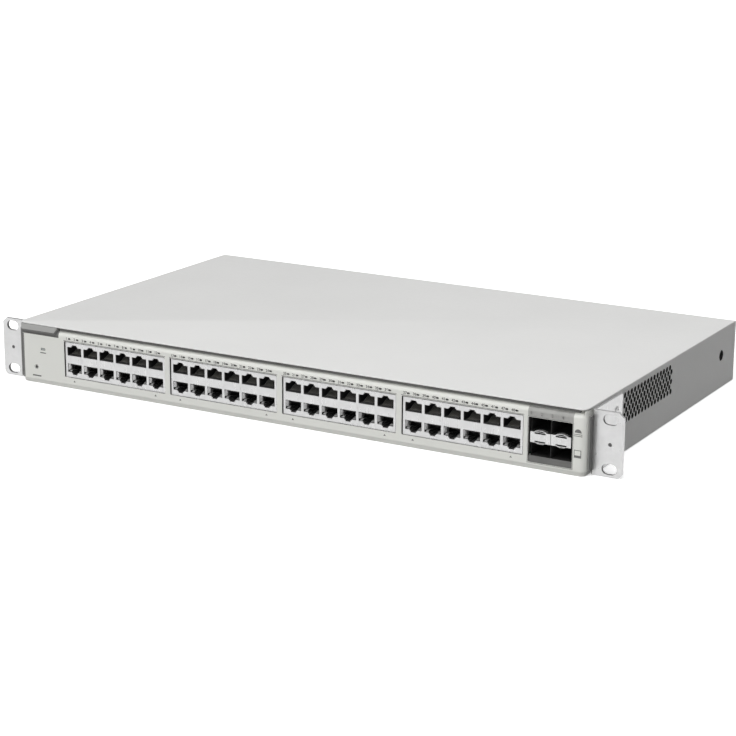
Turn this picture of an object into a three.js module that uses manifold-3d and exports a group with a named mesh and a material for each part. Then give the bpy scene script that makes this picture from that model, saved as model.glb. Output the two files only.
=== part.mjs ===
// A 48-port rackmount network switch, one rack unit high, as an assembly of separate named pieces.
// Millimetres, +Z up, -Y towards the front. The chassis group has its y = 0 at the front bezel's face.
import * as THREE from "three";
import { mergeVertices } from "three/addons/utils/BufferGeometryUtils.js";
import Module from "manifold-3d";

const wasm = await Module();
wasm.setup();

// ---- Driving dimensions ------------------------------------------------------------------------
const WIDTH = 440; // chassis, without the rack ears
const HEIGHT = 44; // one rack unit, less the clearance
const DEPTH = 264; // bezel's face to the rear of the cover
const REAR_PROUD = 2.5; // what stands out behind the cover: the inlet's rim and the earth screw
const RACK_WIDTH = 482.6; // over the ears, EIA-310
const RACK_HOLES = { across: 465.1, up: 31.75 }; // slot centres on the ears, EIA-310
const GAP = 0.3; // between pieces that touch on the real object
const COVER = { thick: 1.0, flange: 8, corner: 5 };
const BASE = { thick: 1.2, flange: 12, lip: 6.2, inset: 1.3 };
const BEZEL = { depth: 10, thick: 1.8, corner: 5, top: 42.3, chamfer: 2.4 };
const EAR = { thick: 2, setback: 8, reach: 51, low: 0.2, high: 42.5, slot: 10, slotHigh: 6.8 };
const BOARD = { thick: 1.6, low: 4.8, front: 12.5, rear: 172, half: 214, fanRoom: 4, hole: 1.7 };
const BOARD_TOP = BOARD.low + BOARD.thick;
const HALF = WIDTH / 2;
const HALF_RACK = RACK_WIDTH / 2;
const COVER_LOW = HEIGHT - COVER.thick; // underside of the cover's top sheet
const PAST = 1; // how far a cutting tool reaches beyond what it cuts
const WALL_END = BEZEL.thick + PAST; // where tools that open the bezel's face end

// RJ45 stacks: four groups, each 6 ports wide and 2 rows high, mirrored about one mid line
const JACK = {
  groups: [-137.1, -46.6, 43.9, 134.4], // middle of each group along x
  columns: 6,
  pitch: 13.97,
  middle: 21.1, // height of the mirror line between the rows
  width: 85.2,
  top: 33.6,
  front: 1.6,
  rear: 26.8,
  skin: 0.4,
  cavity: 14, // depth of a port
};
const PORT = { half: 5.85, near: 3.1, main: 8.9, notchHalf: 3.1, notch: 10.6 }; // from the mirror line
const WINDOW = { width: 86.4, low: 8.2, high: 34.2 };
const LED = { width: 1.8, low: 36.0, high: 37.0 }; // a window in the bezel's face
const PIPE = { front: 0.5, nose: 1.2, noseHigh: 0.5, barFront: 4.2, barRear: 9.4, barHigh: 1.4 };
const MAGNETICS = { half: 40, front: 31, rear: 43, high: 6.5, groove: 1.6, carrier: 2 };

// SFP cage: two columns of two
const SFP = {
  middle: 196.0,
  wall: 0.5,
  slot: { width: 13.9, height: 8.4 },
  pitch: 14.4,
  rows: [13.0, 28.8], // middle height of each row
  front: 0.5,
  rear: 56,
  low: 6.7,
  high: 33.4,
};
const SFP_WINDOW = { low: 4.6, high: 33.8, width: 30.0 };
// front is how far its face stands ahead of the cage's rear
const SFP_CONNECTOR = { half: 6.2, high: 6.8, front: 14, mouthHalf: 4.8, mouthHigh: 1.8, mouthDepth: 6 };

const RESET = { x: -205.4, z: 12.1, hole: 2.4, pin: 1.7, foot: 3.4, front: 1.2, rear: 13.6 };
const SWITCH = { front: 13, rear: 20, width: 6.8, well: 4.1, wellDepth: 2.6 }; // behind the button
const STATUS = { x: -199.2, z: 25.7, width: 3.4, height: 1.4, play: 0.2 };
const TAB = { left: -216.2, right: -186, low: 37.4, slant: 3.4, thick: 1.2, reveal: 2.0 };

const VENT = { rows: 6, columns: 15, pitch: 5.5, rowPitch: 3.4, hole: 3.2, from: 60, low: 21.4 };
const SIDE_HOLE = { y: 236.4, z: 24.4, dia: 7.5 };

const FAN = { y: 112, z: 21.9, size: 40, thick: 20, bore: 38.4, hub: 21, tip: 37, blades: 7, screws: 32 };
const FAN_OUTER = -(HALF - COVER.thick - GAP - 0.2); // x of the fan's outer face
const PSU = { left: 92, right: 208, front: 180, rear: 256 };
const INLET = { x: 158, z: 20, width: 27.4, height: 19.8, depth: 24, rim: 2.2 };
const EARTH = { x: 118, z: 16, hole: 2.3 };

// ---- Shape helpers -----------------------------------------------------------------------------
// A three.js geometry as a manifold solid.
function solid(geometry) {
  const bare = geometry.clone();
  bare.deleteAttribute("normal");
  bare.deleteAttribute("uv");
  const merged = mergeVertices(bare, 1e-4);
  return new wasm.Manifold(
    new wasm.Mesh({
      numProp: 3,
      vertProperties: new Float32Array(merged.attributes.position.array),
      triVerts: new Uint32Array(merged.index.array),
    }),
  );
}

// A manifold solid as a three.js geometry.
function geometryOf(shape) {
  const { vertProperties, triVerts } = shape.getMesh();
  const geometry = new THREE.BufferGeometry();
  geometry.setAttribute("position", new THREE.BufferAttribute(new Float32Array(vertProperties), 3));
  geometry.setIndex(new THREE.BufferAttribute(new Uint32Array(triVerts), 1));
  return geometry;
}

// A block between two corners, each given as [x, y, z].
function block(low, high) {
  const size = high.map((value, i) => value - low[i]);
  const centre = high.map((value, i) => (value + low[i]) / 2);
  return solid(new THREE.BoxGeometry(...size).translate(...centre));
}

// How an extrusion's own x, y and z lie when it runs along x, y or z.
const RUNS = {
  x: new THREE.Matrix4().makeBasis(
    new THREE.Vector3(0, 1, 0),
    new THREE.Vector3(0, 0, 1),
    new THREE.Vector3(1, 0, 0),
  ),
  y: new THREE.Matrix4().makeBasis(
    new THREE.Vector3(1, 0, 0),
    new THREE.Vector3(0, 0, 1),
    new THREE.Vector3(0, -1, 0),
  ),
  z: new THREE.Matrix4(),
};

// An outline pulled along an axis from one place to another. Its two coordinates are (y, z) for a
// run along x, (x, z) along y and (x, y) along z.
function pulled(outline, axis, from, to, curveSegments = 4) {
  const geometry = new THREE.ExtrudeGeometry(outline, {
    depth: to - from,
    bevelEnabled: false,
    curveSegments,
  });
  geometry.translate(0, 0, axis === "y" ? -to : from);
  geometry.applyMatrix4(RUNS[axis]);
  return solid(geometry);
}

// An outline through points given as [u, v].
function outlineOf(points) {
  return new THREE.Shape(points.map(([u, v]) => new THREE.Vector2(u, v)));
}

// A regular polygon, or a circle when it has many sides.
function polygon(u, v, radius, sides) {
  const points = [];
  for (let i = 0; i < sides; i++) {
    const angle = (2 * Math.PI * i) / sides;
    points.push([u + radius * Math.cos(angle), v + radius * Math.sin(angle)]);
  }
  return outlineOf(points);
}

// A slot with round ends, lying along u.
function slotOutline(u, v, length, height) {
  const straight = (length - height) / 2;
  const outline = new THREE.Shape();
  outline.absarc(u + straight, v, height / 2, -Math.PI / 2, Math.PI / 2);
  outline.absarc(u - straight, v, height / 2, Math.PI / 2, (3 * Math.PI) / 2);
  return outline;
}

// A plan with square rear corners and round front ones.
function roundFrontPlan(halfWidth, front, rear, radius) {
  const outline = new THREE.Shape();
  outline.moveTo(halfWidth, rear);
  outline.lineTo(-halfWidth, rear);
  outline.lineTo(-halfWidth, front + radius);
  outline.absarc(-halfWidth + radius, front + radius, radius, Math.PI, 1.5 * Math.PI);
  outline.absarc(halfWidth - radius, front + radius, radius, -Math.PI / 2, 0);
  return outline;
}

// A disc along an axis.
function disc(axis, u, v, radius, from, to, sides = 16) {
  return pulled(polygon(u, v, radius, sides), axis, from, to);
}

function joined(shapes) {
  return shapes.reduce((whole, shape) => whole.add(shape));
}

function cut(shape, tools) {
  return tools.reduce((rest, tool) => rest.subtract(tool), shape);
}

// ---- Materials ---------------------------------------------------------------------------------
const material = (color, roughness, metalness) =>
  new THREE.MeshStandardMaterial({ color, roughness, metalness });
const FINISH = {
  paint: material(0xdcdcda, 0.5, 0.1),
  bezel: material(0xd2d2cc, 0.5, 0.0),
  greyPlate: material(0x8c8c88, 0.5, 0.2),
  zinc: material(0xe2e2e2, 0.35, 0.7),
  screw: material(0xb8bbbe, 0.3, 0.9),
  nickel: material(0xd8d8d8, 0.3, 0.9),
  black: material(0x15161a, 0.6, 0.0),
  clear: material(0xe8efe9, 0.2, 0.0),
  board: material(0x1d5a37, 0.6, 0.0),
  psuBoard: material(0x8a7a3c, 0.7, 0.0),
  chip: material(0x222224, 0.55, 0.0),
  aluminium: material(0xa9adb1, 0.4, 0.9),
  ferrite: material(0xd8c24a, 0.6, 0.0),
  capacitor: material(0x202a55, 0.45, 0.0),
  cable: material(0x1a1a1c, 0.6, 0.0),
};

const chassis = new THREE.Group();
chassis.position.y = -(DEPTH + REAR_PROUD) / 2;

function piece(name, shape, finish, place = [0, 0, 0]) {
  const mesh = new THREE.Mesh(shape.isBufferGeometry ? shape : geometryOf(shape), finish);
  mesh.name = name;
  mesh.position.set(...place);
  chassis.add(mesh);
  return mesh;
}

// ---- Sheet metal -------------------------------------------------------------------------------
// Staggered vent holes through a side, as cutters that run along x. Odd rows stand half a pitch back.
function sideVents(from, to) {
  const holes = [];
  for (let row = 0; row < VENT.rows; row++) {
    for (let column = 0; column < VENT.columns; column++) {
      const y = VENT.from + (column + (row % 2 ? 0 : 0.5)) * VENT.pitch;
      holes.push(pulled(polygon(y, VENT.low + row * VENT.rowPitch, VENT.hole / 2, 4), "x", from, to));
    }
  }
  return holes;
}

// Round field of vent holes in front of the fan.
function fanVents(from, to) {
  const holes = [];
  const reach = Math.floor(FAN.bore / 2 / VENT.rowPitch);
  for (let row = -reach; row <= reach; row++) {
    for (let column = -4; column <= 4; column++) {
      const y = (column + (row % 2 ? 0.5 : 0)) * VENT.pitch;
      const z = row * VENT.rowPitch;
      if (Math.hypot(y, z) > FAN.bore / 2 - VENT.hole / 2) continue;
      holes.push(pulled(polygon(FAN.y + y, FAN.z + z, VENT.hole / 2, 4), "x", from, to));
    }
  }
  return holes;
}

const REAR_SCREWS = [-190, 0, 190];
const REAR_SCREW_HIGH = COVER_LOW - COVER.flange / 2;
const REAR_SCREW_HOLE = 1.8; // radius

function topCover() {
  const top = pulled(
    roundFrontPlan(HALF, 0, DEPTH, COVER.corner),
    "z",
    COVER_LOW,
    HEIGHT,
  );
  const sideFront = BEZEL.depth + GAP;
  const side = (x) => block([x, sideFront, GAP], [x + COVER.thick, DEPTH, COVER_LOW + 0.1]);
  const flange = block(
    [-HALF + 0.5, DEPTH - COVER.thick, COVER_LOW - COVER.flange],
    [HALF - 0.5, DEPTH, COVER_LOW + 0.1],
  );
  const whole = joined([top, side(-HALF), side(HALF - COVER.thick), flange]);
  const right = [HALF - COVER.thick - PAST, HALF + PAST];
  const left = [-HALF - PAST, -HALF + COVER.thick + PAST];
  return cut(whole, [
    ...sideVents(...right),
    ...fanVents(...left),
    disc("x", SIDE_HOLE.y, SIDE_HOLE.z, SIDE_HOLE.dia / 2, ...right),
    ...REAR_SCREWS.map((x) =>
      disc("y", x, REAR_SCREW_HIGH, REAR_SCREW_HOLE, DEPTH - COVER.thick - PAST, DEPTH + PAST, 8),
    ),
  ]);
}

const POST = { radius: 3, hole: 1.6, holeLow: 1.8 }; // a standoff and the screw's hole in it
const STANDOFFS = [
  [-205, 30],
  [205, 92],
  [-60, 160],
  [130, 160],
];

// A tray with a tall rear wall, low side flanges and a lower front lip that the bezel snaps over.
function basePan() {
  const half = HALF - BASE.inset;
  const front = BEZEL.depth + GAP;
  const rear = DEPTH - COVER.thick - GAP;
  const wallHigh = COVER_LOW - GAP;
  const floor = block([-half, front, 0], [half, rear, BASE.thick]);
  const rearWall = block([-half, rear - BASE.thick, 0], [half, rear, wallHigh]);
  const frontLip = block([-half, front, 0], [half, front + BASE.thick, BASE.lip]);
  const flange = (x) => block([x, front, 0], [x + BASE.thick, rear, BASE.flange]);
  const posts = STANDOFFS.map(([x, y]) => disc("z", x, y, POST.radius, 0.5, BOARD.low - GAP, 8));
  const through = [rear - BASE.thick - PAST, rear + PAST];
  const inletReach = { x: INLET.width / 2 + GAP, z: INLET.height / 2 + GAP };
  return cut(joined([floor, rearWall, frontLip, flange(-half), flange(half - BASE.thick), ...posts]), [
    block(
      [INLET.x - inletReach.x, through[0], INLET.z - inletReach.z],
      [INLET.x + inletReach.x, through[1], INLET.z + inletReach.z],
    ),
    disc("y", EARTH.x, EARTH.z, EARTH.hole, ...through, 8),
    ...REAR_SCREWS.map((x) => disc("y", x, REAR_SCREW_HIGH, REAR_SCREW_HOLE, ...through, 8)),
    ...STANDOFFS.map(([x, y]) => disc("z", x, y, POST.hole, POST.holeLow, BOARD.low, 8)),
    // the left flange stops short of the fan
    block(
      [-half - PAST, FAN.y - FAN.size / 2 - 1, BASE.thick],
      [-half + BASE.thick + PAST, FAN.y + FAN.size / 2 + 1, BASE.flange + PAST],
    ),
  ]);
}

// The bezel is a shallow tray: a face with round ends, rounded back at the top, chamfered below.
function frontBezel() {
  const shell = pulled(
    roundFrontPlan(HALF, 0, BEZEL.depth, BEZEL.corner),
    "z",
    0,
    BEZEL.top,
  );
  const edge = BEZEL.chamfer;
  const profile = outlineOf([
    [edge * 0.6, 0],
    [BEZEL.depth + 1, 0],
    [BEZEL.depth + 1, BEZEL.top],
    [2.2, BEZEL.top],
    [0.7, BEZEL.top - 0.6],
    [0, BEZEL.top - 2],
    [0, edge],
  ]);
  const shaped = shell.intersect(pulled(profile, "x", -HALF - 1, HALF + 1));
  const inside = block(
    [-HALF + BEZEL.thick, BEZEL.thick, BEZEL.thick],
    [HALF - BEZEL.thick, BEZEL.depth + 1, BEZEL.top - BEZEL.thick],
  );
  // a window through the face, or from some way behind it
  const window = (x, width, low, high, from = -PAST) =>
    block([x - width / 2, from, low], [x + width / 2, WALL_END, high]);
  const windows = JACK.groups.flatMap((x) => [
    window(x, WINDOW.width, WINDOW.low, WINDOW.high),
    // relief behind the window's lower lip, where the shield runs on down to the board
    window(x, WINDOW.width, BOARD_TOP, WINDOW.high, JACK.front - GAP),
  ]);
  const ledRow = (x, count, pitch) =>
    Array.from({ length: count }, (_, i) =>
      window(x + (i - (count - 1) / 2) * pitch, LED.width, LED.low, LED.high),
    );
  const leds = [
    ...JACK.groups.flatMap((x) => ledRow(x, 2 * JACK.columns, JACK.pitch / 2)),
    ...ledRow(SFP.middle, 4, SFP.pitch / 2),
  ];
  const tabSeat = block(
    [TAB.left - GAP, -PAST, TAB.low - TAB.reveal],
    [TAB.right + TAB.reveal / 2, TAB.thick + GAP, HEIGHT],
  );
  const statusHigh = STATUS.height / 2 + STATUS.play;
  return cut(shaped, [
    inside,
    ...windows,
    window(SFP.middle, SFP_WINDOW.width, SFP_WINDOW.low, SFP_WINDOW.high),
    ...leds,
    disc("y", RESET.x, RESET.z, RESET.hole / 2, -PAST, WALL_END, 10),
    window(STATUS.x, STATUS.width + 2 * STATUS.play, STATUS.z - statusHigh, STATUS.z + statusHigh),
    tabSeat,
  ]);
}

// Blank name plate under the cover's front edge, with a slanted right end.
function namePlate() {
  const high = COVER_LOW - GAP;
  const outline = outlineOf([
    [TAB.left, TAB.low],
    [TAB.right - TAB.slant, TAB.low],
    [TAB.right, TAB.low + TAB.slant],
    [TAB.right, high],
    [TAB.left, high],
  ]);
  return pulled(outline, "y", 0.05, TAB.thick);
}

const EAR_MIDDLE = (EAR.low + EAR.high) / 2;
const EAR_SCREWS = [
  [42, EAR_MIDDLE + 12.5],
  [42, EAR_MIDDLE - 12.5],
  [18, EAR_MIDDLE],
];

// A rack ear: a flange with two slots and a plate that lies on the chassis side. Made for the right.
function rackEar() {
  const { low, high, thick, setback, reach } = EAR;
  const inner = HALF + GAP;
  const round = 4; // the flange's lower outer corner
  const clip = 3.2; // its upper outer corner
  const slant = 5; // the plate's lower rear corner
  const trim = 1; // its upper rear corner
  const flange = new THREE.Shape();
  flange.moveTo(inner, low);
  flange.lineTo(HALF_RACK - round, low);
  flange.absarc(HALF_RACK - round, low + round, round, -Math.PI / 2, 0);
  flange.lineTo(HALF_RACK, high - clip);
  flange.lineTo(HALF_RACK - clip, high);
  flange.lineTo(inner, high);
  const face = pulled(flange, "y", setback, setback + thick);
  const plate = new THREE.Shape();
  plate.moveTo(setback, low);
  plate.lineTo(reach - slant, low);
  plate.lineTo(reach, low + slant);
  plate.lineTo(reach, high - trim);
  plate.lineTo(reach - trim, high);
  plate.lineTo(setback, high);
  const side = pulled(plate, "x", inner, inner + thick);
  const slotX = RACK_HOLES.across / 2;
  const through = [setback - PAST, setback + thick + PAST];
  const holes = { middle: 1.5, screw: 1.9 }; // radii
  const slots = [-1, 1].map((sign) => {
    const high = EAR_MIDDLE + (sign * RACK_HOLES.up) / 2;
    return pulled(slotOutline(slotX, high, EAR.slot, EAR.slotHigh), "y", ...through, 6);
  });
  return cut(face.add(side), [
    ...slots,
    disc("y", slotX, EAR_MIDDLE, holes.middle, ...through, 8),
    ...EAR_SCREWS.map(([y, z]) =>
      disc("x", y, z, holes.screw, inner - PAST, inner + thick + PAST, 8),
    ),
  ]);
}

// A pan-head screw along +z. Its head starts at z = 0.
function screw(head, headHigh, shank, length) {
  const profile = [
    [0, -length],
    [shank, -length],
    [shank, 0],
    [head, 0],
    [head, headHigh * 0.5],
    [head * 0.7, headHigh],
    [0, headHigh],
  ].map(([r, z]) => new THREE.Vector2(r, z));
  const lathe = new THREE.LatheGeometry(profile, 8);
  lathe.rotateX(Math.PI / 2);
  return solid(lathe);
}

piece("top_cover", topCover(), FINISH.paint);
piece("base_pan", basePan(), FINISH.paint);
piece("front_bezel", frontBezel(), FINISH.bezel);
piece("name_plate", namePlate(), FINISH.greyPlate);

const ear = rackEar();
piece("rack_ear_right", ear, FINISH.zinc);
piece("rack_ear_left", ear.mirror([1, 0, 0]), FINISH.zinc);

// Ear screws stop short of the cover: their shanks lie in the ear's holes.
const earScrew = geometryOf(screw(2.5, 1.1, 1.5, EAR.thick));
for (const sign of [1, -1]) {
  EAR_SCREWS.forEach(([y, z], i) => {
    const x = sign * (HALF + GAP + EAR.thick + 0.05);
    const name = `ear_screw_${sign > 0 ? "right" : "left"}_${i + 1}`;
    piece(name, earScrew, FINISH.screw, [x, y, z]).rotation.y = (sign * Math.PI) / 2;
  });
}

const coverScrew = geometryOf(screw(2.8, 1.5, 1.4, 3));
REAR_SCREWS.forEach((x, i) => {
  const place = [x, DEPTH + 0.05, REAR_SCREW_HIGH];
  piece(`cover_screw_${i + 1}`, coverScrew, FINISH.screw, place).rotation.x = -Math.PI / 2;
});

// ---- Port groups -------------------------------------------------------------------------------
// The opening of one port, standing away from the mirror line on the given side (1 up, -1 down).
function portOutline(column, side, grow) {
  const x = (column - (JACK.columns - 1) / 2) * JACK.pitch;
  const z = (distance) => JACK.middle + side * distance;
  const points = [
    [x - PORT.half - grow, z(PORT.near - grow)],
    [x + PORT.half + grow, z(PORT.near - grow)],
    [x + PORT.half + grow, z(PORT.main + grow)],
    [x + PORT.notchHalf + grow, z(PORT.main + grow)],
    [x + PORT.notchHalf + grow, z(PORT.notch + grow)],
    [x - PORT.notchHalf - grow, z(PORT.notch + grow)],
    [x - PORT.notchHalf - grow, z(PORT.main + grow)],
    [x - PORT.half - grow, z(PORT.main + grow)],
  ];
  return outlineOf(side > 0 ? points : points.reverse());
}

function everyPort(grow, from, to) {
  const holes = [];
  for (let column = 0; column < JACK.columns; column++) {
    for (const side of [1, -1]) {
      holes.push(pulled(portOutline(column, side, grow), "y", from, to));
    }
  }
  return holes;
}

// Stamped shield over one stack: front, top and sides in one skin.
function jackShield() {
  const half = JACK.width / 2;
  const low = BOARD_TOP + GAP;
  const outer = block([-half, JACK.front, low], [half, JACK.rear, JACK.top]);
  const inner = block(
    [-half + JACK.skin, JACK.front + JACK.skin, low - 1],
    [half - JACK.skin, JACK.rear + 1, JACK.top - JACK.skin],
  );
  const grow = 0.15; // the shield's openings are a little wider than the housing's
  return cut(outer, [inner, ...everyPort(grow, JACK.front - PAST, JACK.front + PAST)]);
}

function jackHousing() {
  const half = JACK.width / 2 - JACK.skin - GAP;
  const front = JACK.front + JACK.skin + GAP;
  const body = block(
    [-half, front, BOARD_TOP + GAP],
    [half, JACK.rear, JACK.top - JACK.skin - GAP],
  );
  return cut(body, everyPort(0, front - PAST, front + JACK.cavity));
}

// Three quad isolation transformers on one moulded carrier behind a stack.
function magneticsBank() {
  const low = BOARD_TOP + GAP;
  const { half, front, rear, high, groove, carrier } = MAGNETICS;
  const body = block([-half, front, low], [half, rear, low + high]);
  const grooves = [-half / 3, half / 3].map((x) =>
    block(
      [x - groove / 2, front - PAST, low + carrier],
      [x + groove / 2, rear + PAST, low + high + PAST],
    ),
  );
  return cut(body, grooves);
}

// Light pipe for one group: a bar behind the bezel with twelve noses that reach its windows.
function lightPipe(count, pitch) {
  const { front, nose, noseHigh, barFront, barRear, barHigh } = PIPE;
  const z = (LED.low + LED.high) / 2;
  const reach = ((count - 1) / 2) * pitch;
  const side = reach + nose;
  const bar = block([-side, barFront, z - barHigh / 2], [side, barRear, z + barHigh / 2]);
  const noses = [];
  for (let x = -reach; x < reach + pitch / 2; x += pitch) {
    noses.push(
      block([x - nose / 2, front, z - noseHigh / 2], [x + nose / 2, barFront + 0.2, z + noseHigh / 2]),
    );
  }
  return joined([bar, ...noses]);
}

const shield = geometryOf(jackShield());
const housing = geometryOf(jackHousing());
const magnetics = geometryOf(magneticsBank());
const groupPipe = geometryOf(lightPipe(2 * JACK.columns, JACK.pitch / 2));
JACK.groups.forEach((x, i) => {
  const place = [x, 0, 0];
  piece(`rj45_shield_${i + 1}`, shield, FINISH.nickel, place);
  piece(`rj45_housing_${i + 1}`, housing, FINISH.black, place);
  piece(`magnetics_bank_${i + 1}`, magnetics, FINISH.chip, place);
  piece(`light_pipe_${i + 1}`, groupPipe, FINISH.clear, place);
});
piece("light_pipe_sfp", lightPipe(4, SFP.pitch / 2), FINISH.clear, [SFP.middle, 0, 0]);

function sfpCage() {
  const half = SFP.pitch + SFP.wall / 2;
  const outer = block([-half, SFP.front, SFP.low], [half, SFP.rear, SFP.high]);
  const { width, height } = SFP.slot;
  const hollow = (x, front, rear, low, high) =>
    block([x - width / 2, front, low], [x + width / 2, rear, high]);
  const [lower, upper] = SFP.rows;
  const sheet = 1.0; // front face, rear wall, and the sheets above and below the hollow middle
  const pockets = [-SFP.pitch / 2, SFP.pitch / 2].flatMap((x) => [
    ...SFP.rows.map((z) =>
      hollow(x, SFP.front - PAST, SFP.rear - sheet, z - height / 2, z + height / 2),
    ),
    // the hollow middle of each column, open at the rear
    hollow(x, SFP.front + sheet, SFP.rear + PAST, lower + height / 2 + sheet, upper - height / 2 - sheet),
  ]);
  return cut(outer, pockets);
}

// A 20-way connector at the back of one slot of the cage, with a mouth for the module's card edge.
function sfpConnector(z) {
  const { half, high, front, mouthHalf, mouthHigh, mouthDepth } = SFP_CONNECTOR;
  const start = SFP.rear - front;
  const body = block([-half, start, z - high / 2], [half, SFP.rear - 1 - GAP, z + high / 2]);
  const mouth = block(
    [-mouthHalf, start - PAST, z - mouthHigh / 2],
    [mouthHalf, start + mouthDepth, z + mouthHigh / 2],
  );
  return cut(body, [mouth]);
}

piece("sfp_cage", sfpCage(), FINISH.nickel, [SFP.middle, 0, 0]);
["lower", "upper"].forEach((row, i) => {
  for (const [column, sign] of [
    ["left", -1],
    ["right", 1],
  ]) {
    const place = [SFP.middle + (sign * SFP.pitch) / 2, 0, 0];
    piece(`sfp_connector_${row}_${column}`, sfpConnector(SFP.rows[i]), FINISH.black, place);
  }
});

// ---- Controls ----------------------------------------------------------------------------------
// The button: a thin pin with a wider foot that the switch's plunger pushes back.
function resetButton() {
  const { x, z, pin, foot, front, rear } = RESET;
  const stem = disc("y", x, z, pin / 2, front, rear, 10);
  return stem.add(disc("y", x, z, foot / 2, rear - 1, rear, 10));
}

function resetSwitch() {
  const { front, rear, width, well, wellDepth } = SWITCH;
  const body = block(
    [RESET.x - width / 2, front, BOARD_TOP + GAP],
    [RESET.x + width / 2, rear, RESET.z + width / 2],
  );
  const mouth = disc("y", RESET.x, RESET.z, well / 2, front - PAST, front + wellDepth, 10);
  const slit = block(
    [RESET.x - well / 2, front - PAST, BOARD_TOP],
    [RESET.x + well / 2, front + wellDepth, RESET.z],
  );
  return cut(body, [mouth, slit]);
}

// One clear moulding: a flat nose in the bezel, a stem back to the board and a leg that stands on it.
function statusLens() {
  const { x, z, width, height } = STATUS;
  const noseEnd = 5;
  const stemEnd = 14.5;
  const stemHalf = 1.9;
  const stemUp = 1.4;
  const nose = block([x - width / 2, 0.3, z - height / 2], [x + width / 2, noseEnd, z + height / 2]);
  const stem = block([x - stemHalf, noseEnd - 0.2, z - stemUp], [x + stemHalf, stemEnd, z + stemUp]);
  const leg = block([x - stemHalf, SWITCH.front, BOARD_TOP + GAP], [x + stemHalf, stemEnd, z]);
  return joined([nose, stem, leg]);
}

piece("reset_button", resetButton(), FINISH.black);
piece("reset_switch", resetSwitch(), FINISH.black);
piece("status_lens", statusLens(), FINISH.clear);

// ---- Main board --------------------------------------------------------------------------------
function mainBoard() {
  const { low, front, rear, half, fanRoom } = BOARD;
  const fanSide = FAN_OUTER + FAN.thick + fanRoom;
  const fanFront = FAN.y - FAN.size / 2 - fanRoom;
  const outline = outlineOf([
    [-half, front],
    [half, front],
    [half, rear],
    [fanSide, rear],
    [fanSide, fanFront],
    [-half, fanFront],
  ]);
  return cut(
    pulled(outline, "z", low, BOARD_TOP),
    STANDOFFS.map(([x, y]) => disc("z", x, y, BOARD.hole, low - PAST, BOARD_TOP + PAST, 8)),
  );
}

// Finned heatsink: a plate with upright fins that run along y.
function heatsink(width, length, high, fins, plate) {
  const foot = block([-width / 2, -length / 2, 0], [width / 2, length / 2, plate]);
  const thick = 1.2;
  const step = (width - thick) / (fins - 1);
  const blades = [];
  for (let i = 0; i < fins; i++) {
    const x = -width / 2 + i * step;
    blades.push(block([x, -length / 2, plate - 0.2], [x + thick, length / 2, high]));
  }
  return joined([foot, ...blades]);
}

piece("main_board", mainBoard(), FINISH.board);
const boardScrew = geometryOf(screw(2.9, 1.4, 1.3, 2.5));
STANDOFFS.forEach(([x, y], i) => {
  piece(`board_screw_${i + 1}`, boardScrew, FINISH.screw, [x, y, BOARD_TOP + 0.05]);
});

// A chip and the heatsink on it: width along x, length along y and height of each.
const ASIC = { x: 10, y: 112, chip: [35, 35, 2.4], sink: [60, 60, 20], fins: 11, plate: 2.6 };
const PHY = { places: [-125, 125], y: 69, chip: [28, 14, 1.6], sink: [64, 26, 12], fins: 11, plate: 2 };
const CHIP_LOW = BOARD_TOP + GAP;

// A block standing on z = 0 about the origin.
function standing([width, length, high]) {
  return block([-width / 2, -length / 2, 0], [width / 2, length / 2, high]);
}

piece("switch_chip", standing(ASIC.chip), FINISH.chip, [ASIC.x, ASIC.y, CHIP_LOW]);
piece("switch_chip_heatsink", heatsink(...ASIC.sink, ASIC.fins, ASIC.plate), FINISH.aluminium, [
  ASIC.x,
  ASIC.y,
  CHIP_LOW + ASIC.chip[2] + GAP,
]);
const phyChip = geometryOf(standing(PHY.chip));
const phyHeatsink = geometryOf(heatsink(...PHY.sink, PHY.fins, PHY.plate));
const phySinkLow = CHIP_LOW + PHY.chip[2] + GAP;
PHY.places.forEach((x, i) => {
  piece(`phy_chip_${i + 1}`, phyChip, FINISH.chip, [x, PHY.y, CHIP_LOW]);
  piece(`phy_heatsink_${i + 1}`, phyHeatsink, FINISH.aluminium, [x, PHY.y, phySinkLow]);
});

// ---- Power supply ------------------------------------------------------------------------------
piece(
  "psu_board",
  block([PSU.left, PSU.front, BOARD.low], [PSU.right, PSU.rear - 1, BOARD_TOP]),
  FINISH.psuBoard,
);
const TRANSFORMER = { place: [118, 222], size: [30, 28, 22], winding: 9, slot: 4, from: 4, to: 18 };
const BULK = { place: [193, 205], radius: 11, high: 30, top: 31 };
const PSU_SINK = { place: [155, 200], size: [28, 22, 24], fins: 6, plate: 2.4 };

function transformer() {
  const { size, winding, slot, from, to } = TRANSFORMER;
  const reach = size[1] / 2 + PAST;
  const windows = [-winding, winding].map((x) =>
    block([x - slot / 2, -reach, from], [x + slot / 2, reach, to]),
  );
  return cut(standing(size), windows);
}

function bulkCapacitor() {
  const { radius, high, top } = BULK;
  return disc("z", 0, 0, radius, 0, high, 20).add(disc("z", 0, 0, radius - 1, high - 0.1, top, 20));
}

piece("psu_transformer", transformer(), FINISH.ferrite, [...TRANSFORMER.place, CHIP_LOW]);
piece("psu_bulk_capacitor", bulkCapacitor(), FINISH.capacitor, [...BULK.place, CHIP_LOW]);
piece(
  "psu_heatsink",
  heatsink(...PSU_SINK.size, PSU_SINK.fins, PSU_SINK.plate),
  FINISH.aluminium,
  [...PSU_SINK.place, CHIP_LOW],
);

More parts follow.
